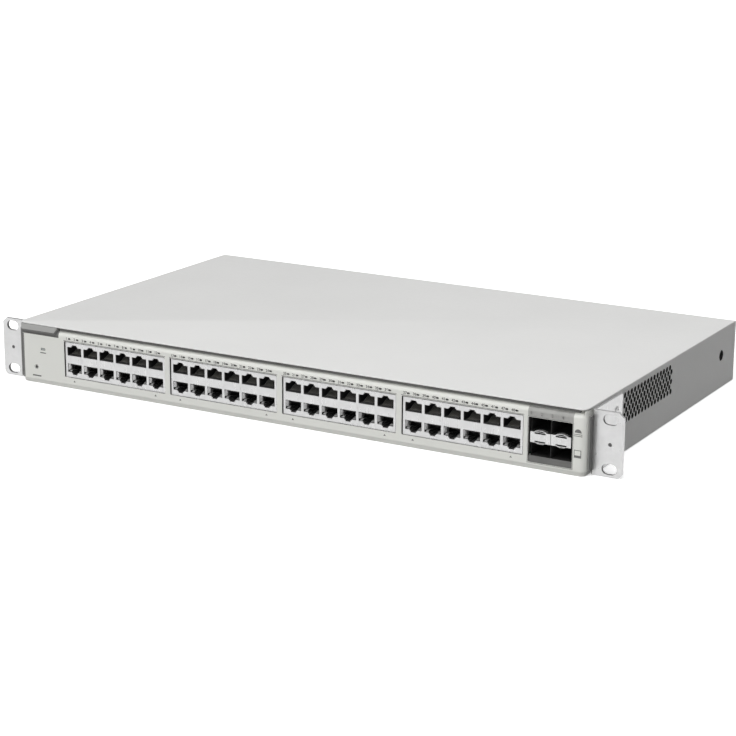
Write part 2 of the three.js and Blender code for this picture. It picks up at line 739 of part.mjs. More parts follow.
// Three-pin inlet for a detachable lead: a snap-in body, a rim outside the wall, and a shaped mouth.
function acInlet() {
  const wall = DEPTH - COVER.thick;
  const { x, z, width, height, depth, rim } = INLET;
  const body = block(
    [x - width / 2, wall - depth, z - height / 2],
    [x + width / 2, wall + 0.2, z + height / 2],
  );
  const flange = block(
    [x - width / 2 - rim, wall, z - height / 2 - rim],
    [x + width / 2 + rim, DEPTH + REAR_PROUD, z + height / 2 + rim],
  );
  const bevel = 5; // the mouth's two upper corners
  const half = 12; // its half width
  const up = 8; // its half height
  const deep = 16.5;
  const mouth = outlineOf([
    [x - half, z - up],
    [x + half, z - up],
    [x + half, z + up - bevel],
    [x + half - bevel, z + up],
    [x - half + bevel, z + up],
    [x - half, z + up - bevel],
  ]);
  const hollow = pulled(mouth, "y", wall - deep, DEPTH + REAR_PROUD + PAST);
  // three upright blades: two low at the sides, one high in the middle
  const blade = { thick: 2, high: 4, root: 1.5, tip: 4 };
  const blades = [
    [-7, -2],
    [7, -2],
    [0, 2.2],
  ].map(([across, high]) =>
    block(
      [x + across - blade.thick / 2, wall - deep - blade.root, z + high - blade.high / 2],
      [x + across + blade.thick / 2, wall - blade.tip, z + high + blade.high / 2],
    ),
  );
  return joined([cut(body.add(flange), [hollow]), ...blades]);
}

piece("ac_inlet", acInlet(), FINISH.black);
const earthScrew = geometryOf(screw(4, 2.2, 2, 6));
piece("earth_screw", earthScrew, FINISH.screw, [EARTH.x, DEPTH - COVER.thick - GAP + 0.05, EARTH.z])
  .rotation.x = -Math.PI / 2;

// A lead of fixed route: a round section pulled along a smooth curve.
function lead(points, radius, sides, steps) {
  const route = new THREE.CatmullRomCurve3(points.map((p) => new THREE.Vector3(...p)));
  const geometry = new THREE.ExtrudeGeometry(polygon(0, 0, radius, sides), {
    steps,
    extrudePath: route,
    bevelEnabled: false,
  });
  return geometry;
}

piece(
  "dc_harness",
  lead([[98, 184, 9.6], [94, 179, 11], [90, 174, 11.5], [86, 169, 11], [82, 163, 9.6]], 2, 8, 10),
  FINISH.cable,
);

// ---- Fan ---------------------------------------------------------------------------------------
const FRAME = { hole: 1.75, mount: 2.4, strut: 2.8, boss: 3.2, bossLong: 11, shaftBore: 1.55 };

// A square frame with a round bore. Four struts across its inner face hold the motor's mount.
function fanFrame() {
  const outer = FAN_OUTER;
  const inner = FAN_OUTER + FAN.thick;
  const half = FAN.size / 2;
  const body = block([outer, FAN.y - half, FAN.z - half], [inner, FAN.y + half, FAN.z + half]);
  const bore = disc("x", FAN.y, FAN.z, FAN.bore / 2, outer - PAST, inner + PAST, 24);
  const holes = [];
  for (const a of [-1, 1]) {
    for (const b of [-1, 1]) {
      const y = FAN.y + (a * FAN.screws) / 2;
      const z = FAN.z + (b * FAN.screws) / 2;
      holes.push(disc("x", y, z, FRAME.hole, outer - PAST, inner + PAST, 8));
    }
  }
  const mountFace = inner - FRAME.mount;
  const mount = disc("x", FAN.y, FAN.z, FAN.hub / 2, mountFace, inner, 20);
  const boss = disc("x", FAN.y, FAN.z, FRAME.boss, inner - 1 - FRAME.bossLong, inner - 1, 12);
  const reach = FAN.bore / 2 + 0.6;
  const strutHalf = FRAME.strut / 2;
  const struts = [
    block([mountFace, FAN.y - reach, FAN.z - strutHalf], [inner, FAN.y + reach, FAN.z + strutHalf]),
    block([mountFace, FAN.y - strutHalf, FAN.z - reach], [inner, FAN.y + strutHalf, FAN.z + reach]),
  ];
  const shaftRoom = [inner - 2 - FRAME.bossLong, inner - 0.8];
  const shaftBore = disc("x", FAN.y, FAN.z, FRAME.shaftBore, ...shaftRoom, 16);
  return cut(joined([cut(body, [bore, ...holes]), mount, boss, ...struts]), [shaftBore]);
}

const ROTOR = { wall: 1.4, shaft: 1.25, chord: 15.5, blade: 1.1, lean: 42 };

// A cup with a shaft in its middle. Each blade is a thin slab that leans across the cup's rim.
function fanRotor() {
  const outer = FAN_OUTER + 1.6;
  const inner = FAN_OUTER + FAN.thick - 3.4;
  const hub = FAN.hub / 2;
  const cup = cut(disc("x", FAN.y, FAN.z, hub, outer, inner, 14), [
    disc("x", FAN.y, FAN.z, hub - ROTOR.wall, outer + ROTOR.wall, inner + PAST, 14),
  ]);
  const shaft = disc("x", FAN.y, FAN.z, ROTOR.shaft, outer + 0.5, inner + 1.4, 12);
  const middle = (outer + inner) / 2;
  const blades = [];
  for (let i = 0; i < FAN.blades; i++) {
    const blade = new THREE.BoxGeometry(ROTOR.chord, ROTOR.blade, (FAN.tip - FAN.hub) / 2 + 0.8);
    blade.rotateZ(THREE.MathUtils.degToRad(ROTOR.lean));
    blade.translate(0, 0, (FAN.tip + FAN.hub) / 4 - 0.6);
    blade.rotateX((2 * Math.PI * i) / FAN.blades);
    blade.translate(middle, FAN.y, FAN.z);
    blades.push(solid(blade));
  }
  const swept = disc("x", FAN.y, FAN.z, FAN.tip / 2, outer, inner, 20);
  return joined([cup, shaft, joined(blades).intersect(swept)]);
}

piece("fan_frame", fanFrame(), FINISH.black);
piece("fan_rotor", fanRotor(), FINISH.black);

export default chassis;
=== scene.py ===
"""Looks of a 48-port rackmount network switch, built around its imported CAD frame.

Sizes in this script are millimetres, and MM turns them into Blender's metres. Places come from the
frame's boxes. +X is right along the front, -Y is out of the front and +Z is up.
"""

import math
import random

import bmesh
import bpy
from mathutils import Matrix, Vector


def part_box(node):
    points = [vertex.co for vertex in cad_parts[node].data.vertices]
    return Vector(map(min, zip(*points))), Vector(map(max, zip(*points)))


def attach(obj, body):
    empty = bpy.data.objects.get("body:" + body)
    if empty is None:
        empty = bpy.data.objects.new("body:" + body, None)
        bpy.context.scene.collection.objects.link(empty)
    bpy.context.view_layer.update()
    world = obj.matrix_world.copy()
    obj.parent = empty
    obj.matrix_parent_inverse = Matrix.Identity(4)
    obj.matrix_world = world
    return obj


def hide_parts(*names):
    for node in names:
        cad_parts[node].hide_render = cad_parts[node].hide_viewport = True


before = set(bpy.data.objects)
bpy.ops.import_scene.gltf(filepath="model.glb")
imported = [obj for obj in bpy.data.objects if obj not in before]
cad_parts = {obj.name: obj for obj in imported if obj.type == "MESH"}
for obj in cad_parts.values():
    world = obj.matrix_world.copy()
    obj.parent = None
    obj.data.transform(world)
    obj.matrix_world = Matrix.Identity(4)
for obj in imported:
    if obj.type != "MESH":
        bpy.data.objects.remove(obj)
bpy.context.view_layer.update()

MM = 0.001
CHASSIS = "chassis"


def span(node):
    """Lowest and highest corner of a CAD node, in millimetres."""
    low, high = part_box(node)
    return low / MM, high / MM


def middle(node):
    low, high = span(node)
    return (low + high) / 2


COVER_LOW, COVER_HIGH = span("top_cover")
BEZEL_LOW, BEZEL_HIGH = span("front_bezel")
FACE = BEZEL_LOW.y  # the bezel's face
HALF = COVER_HIGH.x
REAR = COVER_HIGH.y
TOP = COVER_HIGH.z

SHEET = 1.0  # cover sheet
COVER_ROUND = 0.55  # its outer edge
CORNER = 5.0  # radius of the front's two ends, in plan
GROUPS = [middle(f"rj45_shield_{i}").x for i in range(1, 5)]
COLUMNS = 6
PITCH = 13.97  # RJ45 port pitch
MID_LINE = 21.1  # height between the two rows of ports
PORT_NEAR, PORT_MAIN, PORT_NOTCH = 3.1, 8.9, 10.6  # distances from the mid line
PORT_FORWARD = 0.8  # how far the blocks' fronts stand ahead of their CAD boxes
PORT_HALF, NOTCH_HALF, CATCH_HALF = 5.85, 2.55, 1.75
SFP_X = middle("sfp_cage").x
SFP_PITCH = 14.4
SFP_ROWS = (13.0, 28.8)
SFP_WIDE, SFP_TALL = 13.9, 8.8  # one slot
RESET = middle("reset_button")
LENS_HIGH = span("status_lens")[1]
STATUS = Vector((middle("status_lens").x, FACE, LENS_HIGH.z - 1.4))  # middle of the lens's nose


# ---- Materials ----
class Shader:
    """A Principled material with short calls for the nodes that feed it."""

    def __init__(self, name, color, roughness, metallic=0.0, **sockets):
        self.material = bpy.data.materials.new(name)
        self.material.use_nodes = True
        self.tree = self.material.node_tree
        self.surface = self.tree.nodes["Principled BSDF"]
        self.surface.inputs["Base Color"].default_value = (*color, 1)
        self.surface.inputs["Roughness"].default_value = roughness
        self.surface.inputs["Metallic"].default_value = metallic
        for socket, value in sockets.items():
            self.surface.inputs[socket.replace("_", " ")].default_value = value
        self.color = color
        self.place = self.node("ShaderNodeTexCoord").outputs["Object"]

    def node(self, kind, **values):
        made = self.tree.nodes.new(kind)
        for key, value in values.items():
            setattr(made, key, value)
        return made

    def link(self, source, target):
        self.tree.links.new(source, target)

    def noise(self, grain, detail=3.0, stretch=(1, 1, 1)):
        """Noise whose blobs are about grain millimetres wide."""
        mapping = self.node("ShaderNodeMapping")
        mapping.inputs["Scale"].default_value = stretch
        self.link(self.place, mapping.inputs["Vector"])
        made = self.node("ShaderNodeTexNoise")
        made.inputs["Scale"].default_value = 1 / (grain * MM)
        made.inputs["Detail"].default_value = detail
        self.link(mapping.outputs["Vector"], made.inputs["Vector"])
        return made.outputs["Fac"]

    def spread(self, source, low, high, begin=0.3, end=0.7):
        made = self.node("ShaderNodeMapRange")
        made.inputs["From Min"].default_value = begin
        made.inputs["From Max"].default_value = end
        made.inputs["To Min"].default_value = low
        made.inputs["To Max"].default_value = high
        self.link(source, made.inputs["Value"])
        return made.outputs["Result"]

    def mix(self, source, first, second):
        """A colour between two, by a value from 0 to 1."""
        made = self.node("ShaderNodeMix", data_type="RGBA")
        self.link(source, made.inputs["Factor"])
        for socket, colour in ((made.inputs[6], first), (made.inputs[7], second)):
            if isinstance(colour, tuple):
                socket.default_value = (*colour, 1)
            else:
                self.link(colour, socket)
        return made.outputs[2]

    def mottle(self, source, share):
        """The base colour, a little darker and lighter by share."""
        dark = tuple(c * (1 - share) for c in self.color)
        light = tuple(min(1.0, c * (1 + share)) for c in self.color)
        self.link(self.mix(self.spread(source, 0, 1), dark, light), self.surface.inputs["Base Color"])
        return self

    def roughen(self, source, low, high):
        self.link(self.spread(source, low, high), self.surface.inputs["Roughness"])
        return self

    def bump(self, source, height, strength=1.0):
        """Bumps of a height in millimetres. A second call adds to the first."""
        made = self.node("ShaderNodeBump")
        made.inputs["Distance"].default_value = height * MM
        made.inputs["Strength"].default_value = strength
        self.link(source, made.inputs["Height"])
        normal = self.surface.inputs["Normal"]
        if normal.is_linked:
            self.link(normal.links[0].from_socket, made.inputs["Normal"])
        self.link(made.outputs["Normal"], normal)
        return self


def powder_coat(name, color, roughness):
    """Fine textured paint: orange peel, a finer grain and a very faint cloudiness."""
    made = Shader(name, color, roughness, Specular_IOR_Level=0.3)
    made.mottle(made.noise(60, 2), 0.012)
    made.roughen(made.noise(4), roughness - 0.06, roughness + 0.06)
    made.bump(made.noise(1.4, 2), 0.02, 0.35)
    made.bump(made.noise(0.35, 2), 0.012, 0.45)
    return made.material


def plated(name, color, roughness, metallic=1.0, grain=(1, 1, 1)):
    """Bright plating over sheet steel, with faint rolling marks along one axis."""
    made = Shader(name, color, roughness, metallic)
    made.mottle(made.noise(9, 3), 0.04)
    made.roughen(made.noise(2.2, 4, grain), roughness * 0.75, roughness * 1.3)
    made.bump(made.noise(0.5, 3, grain), 0.008, 0.4)
    return made.material


def moulded(name, color, roughness):
    """Moulded plastic with a spark-eroded grain."""
    made = Shader(name, color, roughness)
    made.mottle(made.noise(5), 0.08)
    made.roughen(made.noise(1.2), roughness - 0.08, roughness + 0.08)
    made.bump(made.noise(0.22, 2), 0.01, 0.5)
    return made.material


def solder_mask(name, color, copper, pad):
    """Board surface: mask over traces that run as offset bars, and small bare pads."""
    made = Shader(name, color, 0.32, Coat_Weight=0.3)
    bricks = made.node("ShaderNodeTexBrick", offset=0.37, squash=0.6)
    for key, value in {
        "Scale": 1 / (30 * MM),
        "Mortar Size": 0.012,
        "Brick Width": 0.9,
        "Row Height": 0.05,
    }.items():
        bricks.inputs[key].default_value = value
    made.link(made.place, bricks.inputs["Vector"])
    pads = made.node("ShaderNodeTexVoronoi")
    pads.inputs["Scale"].default_value = 1 / (3.1 * MM)
    made.link(made.place, pads.inputs["Vector"])
    bare = made.spread(pads.outputs["Distance"], 1, 0, 0.1, 0.13)
    traced = made.mix(bricks.outputs["Fac"], color, copper)
    made.link(made.mix(bare, traced, pad), made.surface.inputs["Base Color"])
    made.link(made.spread(bare, 0, 0.8, 0, 1), made.surface.inputs["Metallic"])
    made.bump(bricks.outputs["Fac"], 0.03, 0.6)
    return made.material


def clear_plastic(name, color):
    made = Shader(name, color, 0.15, Transmission_Weight=0.6, IOR=1.49)
    made.roughen(made.noise(1.5), 0.1, 0.3)
    made.bump(made.noise(0.8), 0.006, 0.4)
    return made.material


def brushed(name, color, roughness):
    """Extruded aluminium: fine lines along y."""
    made = Shader(name, color, roughness, 1.0)
    lines = made.noise(0.3, 3, (1, 0.04, 1))
    made.roughen(lines, roughness * 0.8, roughness * 1.4)
    made.bump(lines, 0.01, 0.5)
    made.mottle(made.noise(12), 0.05)
    return made.material


def floor_paper(name):
    """White paper, lit from behind a little so that it stays white beside the object."""
    made = Shader(name, (0.95, 0.95, 0.95), 0.9, Emission_Strength=0.45)
    made.surface.inputs["Emission Color"].default_value = (1, 1, 1, 1)
    made.mottle(made.noise(400, 2), 0.008)
    return made.material


def white_backdrop(name):
    """Plain white that needs no light."""
    made = Shader(name, (0, 0, 0), 1.0, Emission_Strength=1.0)
    made.surface.inputs["Emission Color"].default_value = (1, 1, 1, 1)
    return made.material


MATERIALS = {
    "cover": powder_coat("cover_paint", (0.77, 0.77, 0.76), 0.5),
    "bezel": powder_coat("bezel_paint", (0.80, 0.805, 0.765), 0.48),
    "plate": powder_coat("plate_grey", (0.45, 0.45, 0.44), 0.42),
    # painted shade: dark grey for the bezel's window walls, the strips at its ends and the lip under the
    # name plate
    "painted_shade": powder_coat("painted_shade_grey", (0.20, 0.20, 0.195), 0.6),
    "ear": plated("ear_zinc", (0.59, 0.59, 0.59), 0.36, 0.85),
    # painted shade: dark grey for the walls of the ear's slots and holes and of the screws' cross
    # recesses
    "edge_shade": moulded("painted_edge_shade", (0.13, 0.13, 0.13), 0.6),
    # print, and the painted shadow line over each port group
    "ink_and_shade": moulded("print_ink_and_shade", (0.16, 0.16, 0.155), 0.6),
    # grey of the band over the SFP slots and of its skin on the top rounding
    "sfp_band": moulded("sfp_band_grey", (0.40, 0.40, 0.385), 0.6),
    "screw": plated("screw_steel", (0.66, 0.67, 0.69), 0.28),
    "nickel": plated("nickel", (0.59, 0.59, 0.59), 0.3, 0.75, (1, 1, 0.1)),
    "gold": plated("contact_gold", (0.32, 0.31, 0.285), 0.45, 0.5),
    "tin": plated("tin", (0.62, 0.62, 0.62), 0.35),
    "black": moulded("black_moulding", (0.018, 0.018, 0.02), 0.5),
    "port": moulded("port_moulding", (0.04, 0.04, 0.04), 0.5),
    # painted shade: near black for the walls of the vent holes, the cage's pockets and slits, and the
    # sheet behind the side vents
    "cavity_shade": moulded("painted_cavity_shade", (0.012, 0.012, 0.012), 0.8),
    # grey of the SFP cage's strip, and painted shade for the backs in the bezel's groove and behind the
    # name plate
    "gasket_and_shade": moulded("gasket_and_shade_grey", (0.17, 0.17, 0.165), 0.75),
    "chip": moulded("chip_epoxy", (0.02, 0.02, 0.022), 0.55),
    "clear": clear_plastic("clear_pipe", (0.82, 0.88, 0.84)),
    "smoky": clear_plastic("smoky_pipe", (0.26, 0.27, 0.26)),
    "board": solder_mask("green_board", (0.012, 0.09, 0.035), (0.03, 0.17, 0.06), (0.7, 0.55, 0.25)),
    "psu_board": solder_mask("tan_board", (0.36, 0.22, 0.07), (0.42, 0.27, 0.10), (0.6, 0.6, 0.6)),
    "fins": brushed("fin_aluminium", (0.62, 0.63, 0.65), 0.3),
    "tape": moulded("yellow_tape", (0.78, 0.55, 0.05), 0.35),
    "ferrite": moulded("ferrite", (0.05, 0.048, 0.045), 0.7),
    "sleeve": moulded("blue_sleeve", (0.015, 0.03, 0.14), 0.3),
    "wire": moulded("wire_pvc", (0.03, 0.03, 0.03), 0.4),
    "wire_red": moulded("wire_red", (0.42, 0.02, 0.02), 0.4),
    "nylon": moulded("white_nylon", (0.72, 0.70, 0.64), 0.45),
    "floor": floor_paper("floor_paper"),
    "backdrop": white_backdrop("white_backdrop"),
}


# ---- Mesh building ----
AXES = {
    "x": Matrix(((0, 0, 1), (1, 0, 0), (0, 1, 0))),
    "y": Matrix(((1, 0, 0), (0, 0, 1), (0, 1, 0))),
    "z": Matrix(((1, 0, 0), (0, 1, 0), (0, 0, 1))),
}


def arc(u, v, radius, start, end, steps=6):
    """Points of an arc, its angles in degrees."""
    points = []
    for i in range(steps + 1):
        angle = math.radians(start + (end - start) * i / steps)
        points.append((u + radius * math.cos(angle), v + radius * math.sin(angle)))
    return points


def circle(u, v, radius, steps=24):
    return arc(u, v, radius, 0, 360 * (1 - 1 / steps), steps - 1)


def rectangle(u0, v0, u1, v1):
    return [(u0, v0), (u1, v0), (u1, v1), (u0, v1)]


def rounded(u0, v0, u1, v1, radius, steps=4):
    """A rectangle with round corners."""
    return (
        arc(u1 - radius, v0 + radius, radius, -90, 0, steps)
        + arc(u1 - radius, v1 - radius, radius, 0, 90, steps)
        + arc(u0 + radius, v1 - radius, radius, 90, 180, steps)
        + arc(u0 + radius, v0 + radius, radius, 180, 270, steps)
    )


def slot_outline(u, v, length, height, steps=10):
    reach = (length - height) / 2
    return arc(u + reach, v, height / 2, -90, 90, steps) + arc(
        u - reach, v, height / 2, 90, 270, steps
    )


class Build:
    """A mesh put together from simple forms, in millimetres."""

    def __init__(self, *materials):
        self.mesh = bmesh.new()
        self.materials = [MATERIALS[name] for name in materials]
        self.index = 0

    def use(self, index):
        """The material, by its place in the list, of what is built next."""
        self.index = index
        return self

    def face(self, vertices):
        made = self.mesh.faces.new(vertices)
        made.material_index = self.index
        return made

    def rings(self, rings, closed=False, capped=True):
        """A skin over rings of points, each ring with as many points as the next."""
        rows = [[self.mesh.verts.new(point) for point in ring] for ring in rings]
        pairs = list(zip(rows, rows[1:]))
        if closed:
            pairs.append((rows[-1], rows[0]))
        for lower, upper in pairs:
            for i in range(len(lower)):
                j = (i + 1) % len(lower)
                self.face((lower[i], lower[j], upper[j], upper[i]))
        if capped and not closed:
            self.face(tuple(reversed(rows[0])))
            self.face(tuple(rows[-1]))
        return self

    def prism(self, outline, axis, start, end):
        """An outline pulled along an axis. It is (y, z) for x, (x, z) for y and (x, y) for z."""
        turn = AXES[axis]
        rings = [[turn @ Vector((u, v, w)) for u, v in outline] for w in (start, end)]
        return self.rings(rings)

    def block(self, low, high):
        (x0, y0, z0), (x1, y1, z1) = low, high
        return self.prism(rectangle(x0, y0, x1, y1), "z", z0, z1)

    def disc(self, axis, u, v, radius, start, end, steps=24):
        return self.prism(circle(u, v, radius, steps), axis, start, end)

    def lathe(self, profile, axis, u, v, steps=24):
        """A profile of (radius, place along the axis) turned about an axis."""
        turn = AXES[axis]
        rings = []
        for radius, along in profile:
            ring = circle(u, v, max(radius, 0.001), steps)
            rings.append([turn @ Vector((a, b, along)) for a, b in ring])
        return self.rings(rings)

    def tube(self, path, radius, sides=8):
        """A round section along a path of points."""
        points = [Vector(p) for p in path]
        rings = []
        for i, point in enumerate(points):
            ahead = points[min(i + 1, len(points) - 1)] - points[max(i - 1, 0)]
            turn = ahead.to_track_quat("Z", "Y")
            ring = [turn @ Vector((a, b, 0)) + point for a, b in circle(0, 0, radius, sides)]
            rings.append(ring)
        return self.rings(rings)

    def strip(self, path, width, thick):
        """A flat wire: its width along x, following (y, z) points at a place along x."""
        x, points = path
        section = rectangle(-width / 2, -1, width / 2, 1)
        rings = []
        for i, (y, z) in enumerate(points):
            back = points[max(i - 1, 0)]
            ahead = points[min(i + 1, len(points) - 1)]
            run = Vector((ahead[0] - back[0], ahead[1] - back[1])).normalized()
            out = Vector((-run.y, run.x)) * thick / 2
            rings.append([(x + u, y + v * out.x, z + v * out.y) for u, v in section])
        return self.rings(rings)

    def hoop(self, x, z, outer, inner, front, rear, steps=24):
        """A flat ring about an axis along y."""
        rings = []
        for radius, y in ((outer, front), (outer, rear), (inner, rear), (inner, front)):
            rings.append([(a, y, b) for a, b in circle(x, z, radius, steps)])
        return self.rings(rings, closed=True)

    def piece(self, name, slot, edge=0.0, replaces=(), body=CHASSIS, cuts=()):
        """The finished piece: made, cut, softened, and put on its body. Its slot argument is not used."""
        made = loose(name, self.data(name))
        for cutter in cuts:
            carve(made, cutter)
        if edge:
            soften(made, edge)
        return settle(made, replaces, body)

    def data(self, name):
        """The mesh data, in metres, with every face turned outwards."""
        bmesh.ops.recalc_face_normals(self.mesh, faces=self.mesh.faces)
        self.mesh.transform(Matrix.Scale(MM, 4))
        made = bpy.data.meshes.new(name)
        self.mesh.to_mesh(made)
        self.mesh.free()
        for material in self.materials:
            made.materials.append(material)
        return made


def loose(name, data):
    made = bpy.data.objects.new(name, data)
    bpy.context.scene.collection.objects.link(made)
    return made


def soften(piece, width, segments=2, angle=32):
    """Small rounded edges, with the flat faces kept flat."""
    for polygon in piece.data.polygons:
        polygon.use_smooth = True
    modifier = piece.modifiers.new("edges", "BEVEL")
    modifier.width = width * MM
    modifier.segments = segments
    modifier.limit_method = "ANGLE"
    modifier.angle_limit = math.radians(angle)
    modifier.harden_normals = True
    return piece


def carve(piece, cutter):
    """Cuts a build's forms out of a piece."""
    tool = loose("cutter", cutter.data("cutter"))
    modifier = piece.modifiers.new("cut", "BOOLEAN")
    modifier.operation = "DIFFERENCE"
    modifier.solver = "EXACT"
    modifier.use_self = True
    modifier.material_mode = "TRANSFER"
    modifier.object = tool
    bpy.context.view_layer.update()
    shown = piece.evaluated_get(bpy.context.evaluated_depsgraph_get())
    result = bpy.data.meshes.new_from_object(shown)
    piece.modifiers.clear()
    piece.data = result
    bpy.data.objects.remove(tool)
    return piece


def carved_data(name, form, holes):
    """Mesh data of a form with holes cut in it, for pieces that share it."""
    piece = carve(loose(name, form.data(name)), holes)
    data = piece.data
    bpy.data.objects.remove(piece)
    return data


def settle(piece, replaces=(), body=CHASSIS):
    """Puts a finished piece on its body, in place of its CAD nodes."""
    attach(piece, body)
    if replaces:
        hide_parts(*replaces)
    return piece


# ---- Shapes shared by several pieces ----
def along(distance):
    """Row y of a place this far behind the bezel's face."""
    return FACE + distance


def chassis_plan(inset, rear):
    """Plan of the chassis with its two round front corners, set in at the front and the sides."""
    reach = HALF - inset
    pivot = HALF - CORNER
    radius = CORNER - inset
    return (
        [(reach, rear), (-reach, rear)]
        + arc(-pivot, along(CORNER), radius, 180, 270)
        + arc(pivot, along(CORNER), radius, 270, 360)
    )


def level(outline, z):
    return [(x, y, z) for x, y in outline]


def quarter(radius, steps=4):
    """Inset and rise of a rounded edge, from its foot up."""
    angles = [math.pi / 2 * i / steps for i in range(steps + 1)]
    return [(radius - radius * math.cos(a), radius * math.sin(a)) for a in angles]


def arch(u, v, inner, outer, start, end):
    """A band that follows an arc."""
    return arc(u, v, outer, start, end, 10) + arc(u, v, inner, end, start, 10)


def side_vents():
    """Places (y, z) of the staggered vent holes in the right side: six rows of fifteen."""
    pitch, row_pitch = 5.5, 3.4
    places = []
    for row in range(6):
        shift = 0 if row % 2 else 0.5
        for column in range(15):
            places.append((along(60 + (column + shift) * pitch), 21.4 + row * row_pitch))
    return places


def fan_vents():
    """Places (y, z) of the vent holes that fill a disc in front of the fan."""
    pitch, row_pitch, reach = 5.5, 3.4, 17.6
    hub = middle("fan_rotor")
    places = []
    for row in range(-5, 6):
        shift = 0.5 if row % 2 else 0
        for column in range(-4, 5):
            y, z = (column + shift) * pitch, row * row_pitch
            if math.hypot(y, z) <= reach:
                places.append((hub.y + y, hub.z + z))
    return places


def seat(node, direction, head):
    """Where a screw's head starts, from its CAD box and the way that it faces."""
    low, high = span(node)
    point = (low + high) / 2
    axis = max(range(3), key=lambda i: abs(direction[i]))
    point[axis] = high[axis] - head if direction[axis] > 0 else low[axis] + head
    return point


# ---- Sheet metal ----
VENT_RADIUS = 2.0
BEZEL_DEPTH = 10.0
SEAM = 0.3  # gap between the bezel and the cover's sides
REAR_FLANGE = 8.0


def top_cover():
    form = Build("cover")
    edge = [(0, TOP - SHEET)] + [(i, TOP - COVER_ROUND + rise) for i, rise in quarter(COVER_ROUND)]
    form.rings([level(chassis_plan(inset, REAR - inset), z) for inset, z in edge])
    under = TOP - SHEET * 0.9
    for left, right in ((-HALF, -HALF + SHEET), (HALF - SHEET, HALF)):
        form.block((left, along(BEZEL_DEPTH + SEAM), COVER_LOW.z), (right, REAR, under))
    form.block((0.5 - HALF, REAR - SHEET, TOP - SHEET - REAR_FLANGE), (HALF - 0.5, REAR, under))
    # The holes' walls take the cutter's near black: painted shade inside the holes.
    holes = Build("cavity_shade")
    for y, z in side_vents():
        holes.disc("x", y, z, VENT_RADIUS, HALF - 2, HALF + 1, 12)
    for y, z in fan_vents():
        holes.disc("x", y, z, VENT_RADIUS, -HALF - 1, -HALF + 2, 12)
    holes.disc("x", along(236.4), 24.4, 3.75, HALF - 2, HALF + 1, 24)
    for i in (1, 2, 3):
        place = middle(f"cover_screw_{i}")
        holes.disc("y", place.x, place.z, 1.8, REAR - 2, REAR + 1, 12)
    form.piece("top_cover_sheet", "cover_paint", 0.14, ["top_cover"], cuts=[holes])


def vent_screen():
    """A dark sheet on two folds, close behind the right side's vent holes: painted shade that keeps the
    holes dark.
    """
    places = side_vents()
    front, rear = min(y for y, _ in places) - 4, max(y for y, _ in places) + 4
    low, high = min(z for _, z in places) - 4, max(z for _, z in places) + 3
    inner = HALF - SHEET - 0.35
    form = Build("cavity_shade").block((inner - 0.3, front, low), (inner, rear, high))
    for y in (front, rear - 0.3):
        form.block((inner - 5, y, low), (inner - 0.3, y + 0.3, high))
    form.piece("vent_screen", "cover_paint", 0.1)


# The bezel's top edge: how far it stands in, and how far down from the top.
BEZEL_TOP_EDGE = (
    (0.0, 4.9),
    (0.2, 4.1),
    (0.65, 3.3),
    (1.3, 2.6),
    (2.4, 1.95),
    (4.4, 1.5),
    (4.5, 0.0),
)


